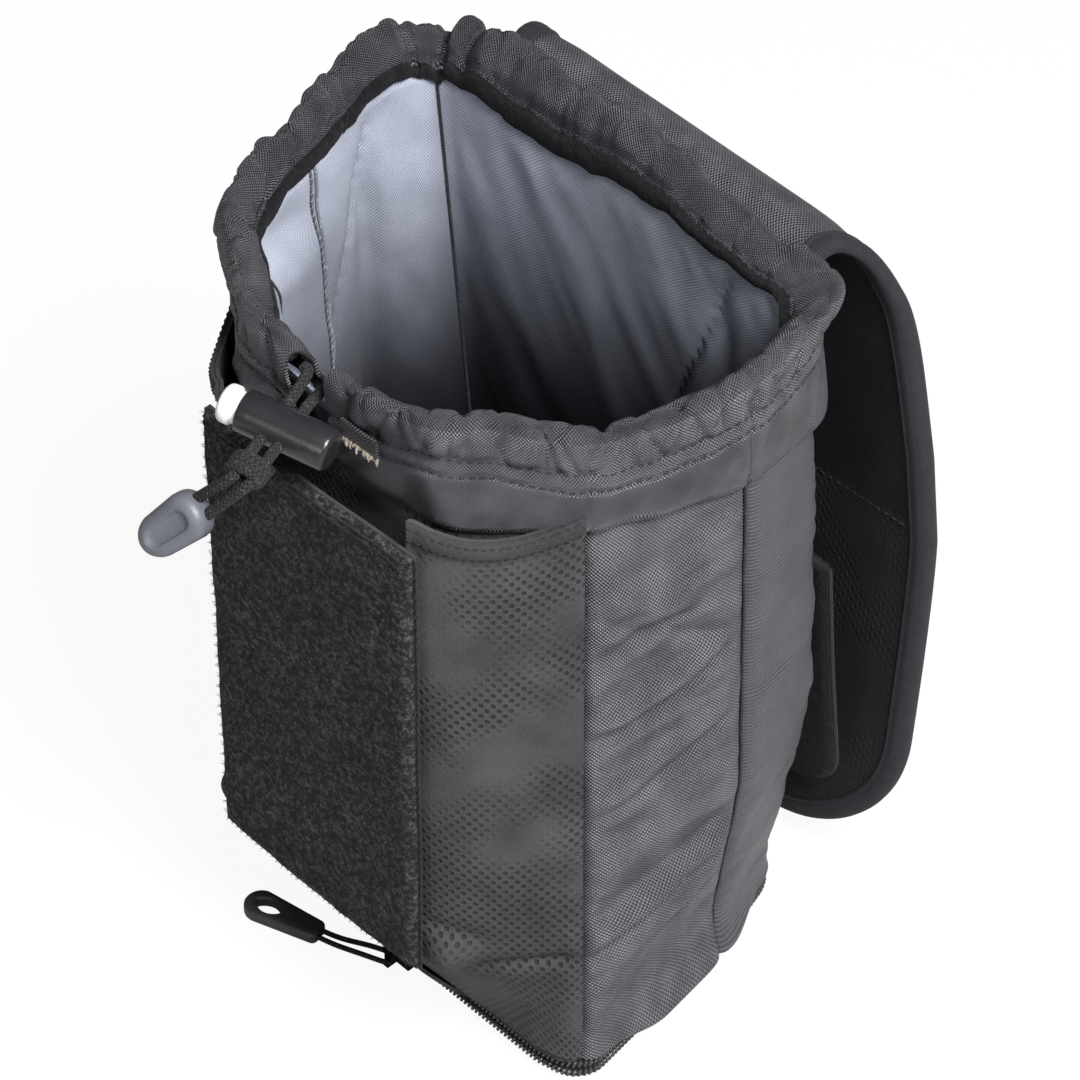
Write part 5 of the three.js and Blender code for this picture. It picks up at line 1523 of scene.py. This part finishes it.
def front_binding(lid, start):
    centre_u = lid.length - LID_CORNER
    straight = np.linspace(start, centre_u, 60)[:-1]
    angles = np.radians(np.linspace(0, 90, 30))
    corner_x = LID_HALF - LID_CORNER + LID_CORNER * np.cos(angles)
    corner_u = centre_u + LID_CORNER * np.sin(angles)
    bottom = np.linspace(LID_HALF - LID_CORNER, 0, 14)[1:]
    right = np.vstack([paired(lid.half(straight), straight), paired(corner_x, corner_u),
                       paired(bottom, lid.length)])
    out = np.vstack([paired(1, 0 * straight), paired(np.cos(angles), np.sin(angles)), paired(0 * bottom, 1)])
    left, left_out = right[:-1][::-1] * (-1, 1), out[:-1][::-1] * (-1, 1)
    return binding(lid, np.vstack([right, left]), np.vstack([out, left_out]))


def lid_piece(name, part, look, stands_for):
    made = piece(name, part, None, look, stands_for)
    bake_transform(made)


def make_lid():
    lid = Lid()
    stretches = dict(
        root=(0, lid.root_split, "lid_nylon", "lid_tab"),
        top=(lid.root_split, lid.top_split, "lid_nylon", "lid_top_foam"),
        front=(lid.top_split, lid.length, "lid_textured", "lid_front_foam"),
    )
    for name, (start, end, outside, filling) in stretches.items():
        outer = lid_face(lid, start, end, -1)
        lid_piece(f"lid_{name}_outside", outer, outside, [f"lid_{name}_outer", filling])
        inner = lid_face(lid, start, end, 1)
        lid_piece(f"lid_{name}_inside", inner, "lid_lining", [f"lid_{name}_lining"])
        if name == "front":
            edges = {"": front_binding(lid, start)}
        else:
            edges = dict(_right=side_binding(lid, start, end, 1), _left=side_binding(lid, start, end, -1))
        for ending, edge in edges.items():
            stands_for = [f"lid_{name}_binding{ending}"]
            lid_piece(f"lid_{name}_edge{ending}", edge, "binding", stands_for)
    make_hook_patch(lid)
    seam_u = lid.top_split + 1.5
    half = lid.half(seam_u) - LID_BINDING
    x = np.linspace(-half, half, 120)
    line = lid.at(x, seam_u, -(lid.thickness(seam_u) / 2 + 0.75))
    lifts = lid.at(x, seam_u, -10.0) - lid.at(x, seam_u, -9.0)
    stitches = stitch_row(line, lifts, 2.8, radius=0.22)
    piece("lid_seam_stitches", stitches, "lid_top", "binding")


def make_hook_patch(lid):
    start, end, half = lid.length - 42, lid.length - 16, 30
    u = np.linspace(start, end, 26)[:, None]
    x = np.linspace(-half, half, 50)[None, :]
    edge = np.minimum(np.minimum(half - np.abs(x), u - start), end - u)
    base = lid.thickness(u) / 2 + 0.75
    face = lid.at(x, u, base + 1.3 * smoothstep(edge, -0.4, 1.6) + 0.12 * noise(x * 1.1, u * 1.1, 161))
    back = lid.at(x, u, base + 0 * x - 0.1)
    part = sheet(face, back, paired(x, u))
    piece("hook_patch", part, "lid_front", "hook", ["lid_hook_patch"])


# Belt flap
BELT_TOP = 131
BELT_Y = 40.6
BELT_LENGTH = 95
BELT_HALF = 66
BELT_LEAN_DEGREES = 6
BELT_CORNER = 18
BELT_CURL = 1.2


def make_belt_flap():
    lean = math.radians(BELT_LEAN_DEGREES)
    v = np.linspace(0.4, BELT_LENGTH, 70)[:, None]
    into = np.clip(v - (BELT_LENGTH - BELT_CORNER), 0, BELT_CORNER)
    half = BELT_HALF - BELT_CORNER + np.sqrt(np.maximum(BELT_CORNER ** 2 - into ** 2, 0))
    share = np.linspace(-1, 1, 84)[None, :]
    x = half * share
    edge = np.minimum((1 - np.abs(share)) * half, BELT_LENGTH - v)
    curl = BELT_CURL * smoothstep(v, 25, BELT_LENGTH) * np.abs(share) ** 4
    soft = 0.3 * noise(x / 20, v / 24, 171)
    lumps = 0.25 * noise(x / 2.4, v / 2.4, 173) * smoothstep(edge, 0, 3)

    def place(n):
        y = BELT_Y + v * math.sin(lean) + n * math.cos(lean) + curl
        z = BELT_TOP - v * math.cos(lean) + n * math.sin(lean)
        return np.stack(np.broadcast_arrays(x, y, z), axis=-1)

    def layer(name, face, back, look, stands_for=()):
        part = sheet(place(face), place(back), paired(x, v))
        piece(f"belt_flap_{name}", part, "belt_flap", look, stands_for)

    layer("tape", 1.2 + soft, 0, "tape", ["belt_flap_web"])
    nap = 1.3 + soft + 0.7 * smoothstep(edge, -0.5, 2) + lumps
    layer("pile", nap, 1.22 + soft, "black_pile", ["belt_flap_loop"])
    nap = -0.1 - 1.1 * smoothstep(edge, -0.5, 1.6) - 0.6 * lumps
    layer("front", nap, 0.1, "black_pile")
    trim = place(0.8)
    outline = np.vstack([trim[:, -1], trim[-1, ::-1][1:], trim[::-1, 0][1:]])
    piece("belt_flap_trim", tube(resample(outline, 260), 0.7, 8), "belt_flap", "tape")


# Cord tails, lock, knot and end
LOCK_CENTRE = (-1.8, -84, 211.6)
TAIL_DIRECTION = (0.324, -0.942, -0.086)
LOCK_DIRECTION = (0.941, 0.292, -0.154)
TAIL_SPREAD = 2.3
STRAND_SHIFT = 2
KNOT_DISTANCE = 15.1
KNOT_LENGTH = 8
CAP_START = (-7, -9, -11)
CAP_DIRECTION = (-15, -12, -19)
CAP_FACING = (0.522, -0.513, 0.681)
CAP_LENGTH = 21
CAP_WIDTH = 12
CAP_THICKNESS = 8.8
CAP_SOCKET = 6
LOCK_DIAMETER = 11.2
LOCK_LENGTH = 25
PLUNGER_DIAMETER = 8.6
PLUNGER_PROUD = 5.5
CHANNEL_DEPTH = 4.4
COLLAR_DROP = 6
RUNNING_GAP = 0.4
KEEPER_X = (6.6, 19.4)
KEEPER_Z = (209.6, 215.5)
KEEPER_Y = -74


def unit(vector):
    vector = np.asarray(vector, float)
    return vector / np.linalg.norm(vector)


class Axes:
    """Axes of a turned or moulded body: x along one direction, z as near as can be to another."""

    def __init__(self, origin, along, facing):
        self.origin = np.array(origin, float)
        self.x = unit(along)
        self.z = unit(facing - self.x * np.dot(facing, self.x))
        self.y = np.cross(self.z, self.x)

    def at(self, x, y, z):
        x, y, z = (np.asarray(v, float)[..., None] for v in (x, y, z))
        return self.origin + x * self.x + y * self.y + z * self.z


LOCK = Axes(LOCK_CENTRE, TAIL_DIRECTION, LOCK_DIRECTION)
CAP = Axes(LOCK.at(KNOT_DISTANCE, 0, -STRAND_SHIFT) + CAP_START, CAP_DIRECTION, CAP_FACING)


def tail_route(side):
    at = -STRAND_SHIFT + side * TAIL_SPREAD
    inside = NOTCH_X + side * (NOTCH_HALF - 2.5 * SEAM_GAP)
    bend = NOTCH_X + side * (NOTCH_HALF - CORD)
    front = LEVELS[2]["front"]
    channel_y = front + CHANNEL_DEPTH
    high = float(crown_height(inside, front)) - COLLAR_DROP
    route = [
        (inside, channel_y, high), (bend, channel_y - CORD / 4, high),
        LOCK.at(-LOCK_DIAMETER, 0, at), LOCK.at(0, 0, at), LOCK.at(KNOT_DISTANCE, 0, at),
        LOCK.at(KNOT_DISTANCE + KNOT_LENGTH * 0.6, 0, at), CAP.at(0, side * TAIL_SPREAD, 0),
        CAP.at(CAP_SOCKET - RUNNING_GAP, side * TAIL_SPREAD, 0),
    ]
    return resample(catmull([np.ravel(p) for p in route], 300), 90)


def make_tails():
    made = []
    for side, label in ((1, "right"), (-1, "left")):
        route = tail_route(side)
        tail = tube(route, CORD / 2, 14)
        tail = piece(f"tail_{label}", tail, "cord_tails", "cord", [f"cord_tail_{label}"])
        made.append((tail, route))
    return made


def turned(axes, profile, sides=56):
    """A body of revolution round the z axis, from (radius, z) pairs."""
    angles = np.linspace(0, 2 * math.pi, sides, endpoint=False)
    return lofted([axes.at(r * np.cos(angles), r * np.sin(angles), z) for r, z in profile])


def rounded_end(radius, z, bevel, direction, steps=5):
    """Profile points that round off the end of a turned body."""
    points = []
    for angle in np.radians(np.linspace(0, 90, steps)):
        low = direction * bevel * (1 - math.sin(angle))
        points.append((radius - bevel * (1 - math.cos(angle)), z - low))
    return points


def make_lock():
    half = LOCK_LENGTH / 2
    radius = LOCK_DIAMETER / 2
    bore = PLUNGER_DIAMETER / 2 + 0.4
    profile = [(0.05, half - 0.25), (radius - 2.2, half)] + rounded_end(radius, half, 1.4, 1)[::-1]
    profile += [(radius, half - 6), (radius, 0), (radius, -half + 3)]
    profile += rounded_end(radius, -half, 0.5, -1)
    profile += [(bore + 0.1, -half), (bore, -half + 0.4), (bore, -half + 3.5), (0.05, -half + 3.5)]
    piece("lock_barrel", turned(LOCK, profile), "cord_lock", "barrel", ["cord_lock_barrel"], 70)
    face = -half - PLUNGER_PROUD
    pin = PLUNGER_DIAMETER / 2
    head = pin + 0.8
    profile = [(0.05, -half + 5), (pin, -half + 5), (pin, -half), (pin, -half - 1.6), (head, -half - 2.2)]
    profile += rounded_end(head, face, 1.6, -1) + [(head - 2, face - 0.1), (0.05, face - 0.15)]
    piece("lock_button", turned(LOCK, profile), "lock_plunger", "plunger", ["cord_lock_plunger"], 70)


def make_knot():
    """Three wraps round both strands, tied off in a fourth that crosses them."""
    turns = 3
    angle = np.linspace(0, 2 * math.pi * turns, 40 * turns)
    along = np.linspace(-2.9, 2.9, len(angle))
    wide = TAIL_SPREAD + CORD * 0.6
    tall = CORD * 0.95
    path = LOCK.at(KNOT_DISTANCE + 0.6 + along, tall * np.sin(angle), -STRAND_SHIFT + wide * np.cos(angle))
    wraps = tube(path, CORD / 2 * 0.98, 12)
    cross_angle = np.linspace(-0.9, 2.6, 30)
    cross = LOCK.at(KNOT_DISTANCE + 0.6 + 3.1 * np.cos(cross_angle), 2.1 + 2.1 * np.sin(cross_angle),
                    -STRAND_SHIFT + 2.6 * np.cos(cross_angle + 0.9))
    both = merged([wraps, tube(cross, CORD / 2 * 0.9, 12)])
    return piece("tail_knot", both, "cord_tails", "cord", ["cord_knot"])


def stadium(half_length, radius, count=64):
    angles = np.linspace(-math.pi / 2, 1.5 * math.pi, count, endpoint=False)
    shift = np.where(np.cos(angles) >= 0, half_length, -half_length)
    return shift + radius * np.cos(angles), radius * np.sin(angles)


def make_cap():
    reach = CAP_WIDTH / 2
    straight = (CAP_LENGTH - CAP_WIDTH) / 2
    groove, land = 2.4, 3.0
    high = CAP_THICKNESS / 2
    bevel = 3
    profile = [(0.05, 4, high - 0.9), (groove - 0.5, 4, high - 0.85), (groove, 4.05, high - 0.6),
               (land - 0.3, 4.3, high - 0.1), (land, 4.5, high)]
    for angle in np.radians(np.linspace(90, 0, 7)):
        out, low = bevel * (1 - math.cos(angle)), bevel * (1 - math.sin(angle))
        profile.append((reach - out, straight, high - low))
    mirror = [(r, s, -h) for r, s, h in reversed(profile)]
    rings = []
    for radius, half_length, height in profile + mirror:
        x, y = stadium(half_length, radius)
        taper = 1 - 0.06 * (x / straight)
        rings.append(CAP.at(CAP_LENGTH / 2 + x, y * taper, height))
    return piece("tail_end_cap", lofted(rings), "cord_tails", "cap", ["cord_end_cap"], 60)


def make_keeper():
    """The short tape over the notch, with a frayed cut edge."""
    left, right = KEEPER_X
    bottom, top = KEEPER_Z
    x_line = np.linspace(left, right, 26)
    z_line = np.linspace(bottom, top, 12)

    def bow(x, z):
        return KEEPER_Y - 0.35 * np.sin((z - bottom) / 8.8 * np.pi) + 0.15 * noise(x / 3, z / 3, 181)

    face, back = facing_front(x_line, z_line, bow, -0.4, 0.4)
    face[0, :, 2] -= 0.35 + 0.35 * noise(x_line * 1.7, 0, 183)
    piece("keeper_tape", sheet(face, back, grid_cloth(face)), "pouch", "keeper", ["cord_keeper_tape"])
    fringe = []
    for x in np.linspace(left - 0.4, right + 0.4, 62):
        long = 1.7 + 0.9 * noise(x * 2.1, 0, 185)
        sway = 0.7 * noise(x * 2.3, 1, 187)
        out = 0.5 * noise(x * 3.1, 2, 189)
        start = np.array([x, KEEPER_Y - 0.3 + 0.3 * out, bottom + 0.6])
        middle = start + (sway * 0.4, -0.4 + out, -long * 0.5)
        end = start + (sway, -0.3 + out, -long)
        fringe.append(tube([start, middle, end], [0.2, 0.18, 0.1], 5))
    piece("keeper_fringe", merged(fringe), "pouch", "frayed")


# Stage and lights
FLOOR_HALF = 6
FLOOR_SINK = 0.02
FLOOR_GREY = 0.5
FLOOR_WHITE = 1.06
FLOOR_SHARE = 0.88
WORLD_LEVEL = 0.06
LIGHT_TARGET = (0, 0, 0.12)


def seen_directly(tree):
    """One for camera and transmission rays, zero for the others."""
    rays = tree.nodes.new("ShaderNodeLightPath").outputs
    kinds = [rays["Is Camera Ray"], rays["Is Transmission Ray"]]
    return add_node(tree, "ShaderNodeMath", kinds, operation="MAXIMUM")


def make_stage():
    mesh = bpy.data.meshes.new("floor")
    half, z = FLOOR_HALF, -FLOOR_SINK * MM
    corners = [(-half, -half, z), (half, -half, z), (half, half, z), (-half, half, z)]
    mesh.from_pydata(corners, [], [(0, 1, 2, 3)])
    material = bpy.data.materials.new("floor_white")
    material.use_nodes = True
    tree = material.node_tree
    tree.nodes.remove(tree.nodes["Principled BSDF"])
    diffuse = add_node(tree, "ShaderNodeBsdfDiffuse", [(FLOOR_GREY, FLOOR_GREY, FLOOR_GREY, 1)])
    white = add_node(tree, "ShaderNodeEmission", [(1, 1, 1, 1), FLOOR_WHITE])
    share = add_node(tree, "ShaderNodeMath", [seen_directly(tree), FLOOR_SHARE], operation="MULTIPLY")
    mixed = add_node(tree, "ShaderNodeMixShader", [share, diffuse, white])
    tree.links.new(mixed, tree.nodes["Material Output"].inputs[0])
    mesh.materials.append(material)
    new_object("floor", mesh)


def make_world():
    world = bpy.data.worlds.new("studio")
    bpy.context.scene.world = world
    world.use_nodes = True
    tree = world.node_tree
    background = tree.nodes["Background"]
    background.inputs[0].default_value = (1, 1, 1, 1)
    level = add_node(tree, "ShaderNodeMapRange", {0: seen_directly(tree), 3: WORLD_LEVEL, 4: 1})
    tree.links.new(level, background.inputs[1])


def area_light(name, place, power, size):
    data = bpy.data.lights.new(name, "AREA")
    data.energy = power
    data.size = size
    new_object(name, data).matrix_world = aimed(place, LIGHT_TARGET)


def make_lights():
    area_light("overhead", (0.85, -0.2, 1.3), 44, 0.6)
    area_light("front", (0.5, -1.5, 0.9), 5, 0.6)


def dress_the_rest():
    """Nodes that stay as they are get their finish."""
    finishes = dict(zip_slider="slider", cord_lock_spring="steel")
    for name, look in finishes.items():
        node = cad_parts[name]
        node.data.materials.clear()
        node.data.materials.append(looks[look][0])


make_camera()
looks = make_looks()
tails = make_tails()
pull_cord, pull_route = make_pull_cord()
make_lock()
knot = make_knot()
cap = make_cap()
make_grip()
make_walls()
make_collar()
make_lining()
make_pocket()
make_zip()
make_base()
make_lid()
make_belt_flap()
make_keeper()
dress_the_rest()
make_stage()
make_world()
make_lights()
bpy.context.scene.view_settings.view_transform = "Standard"
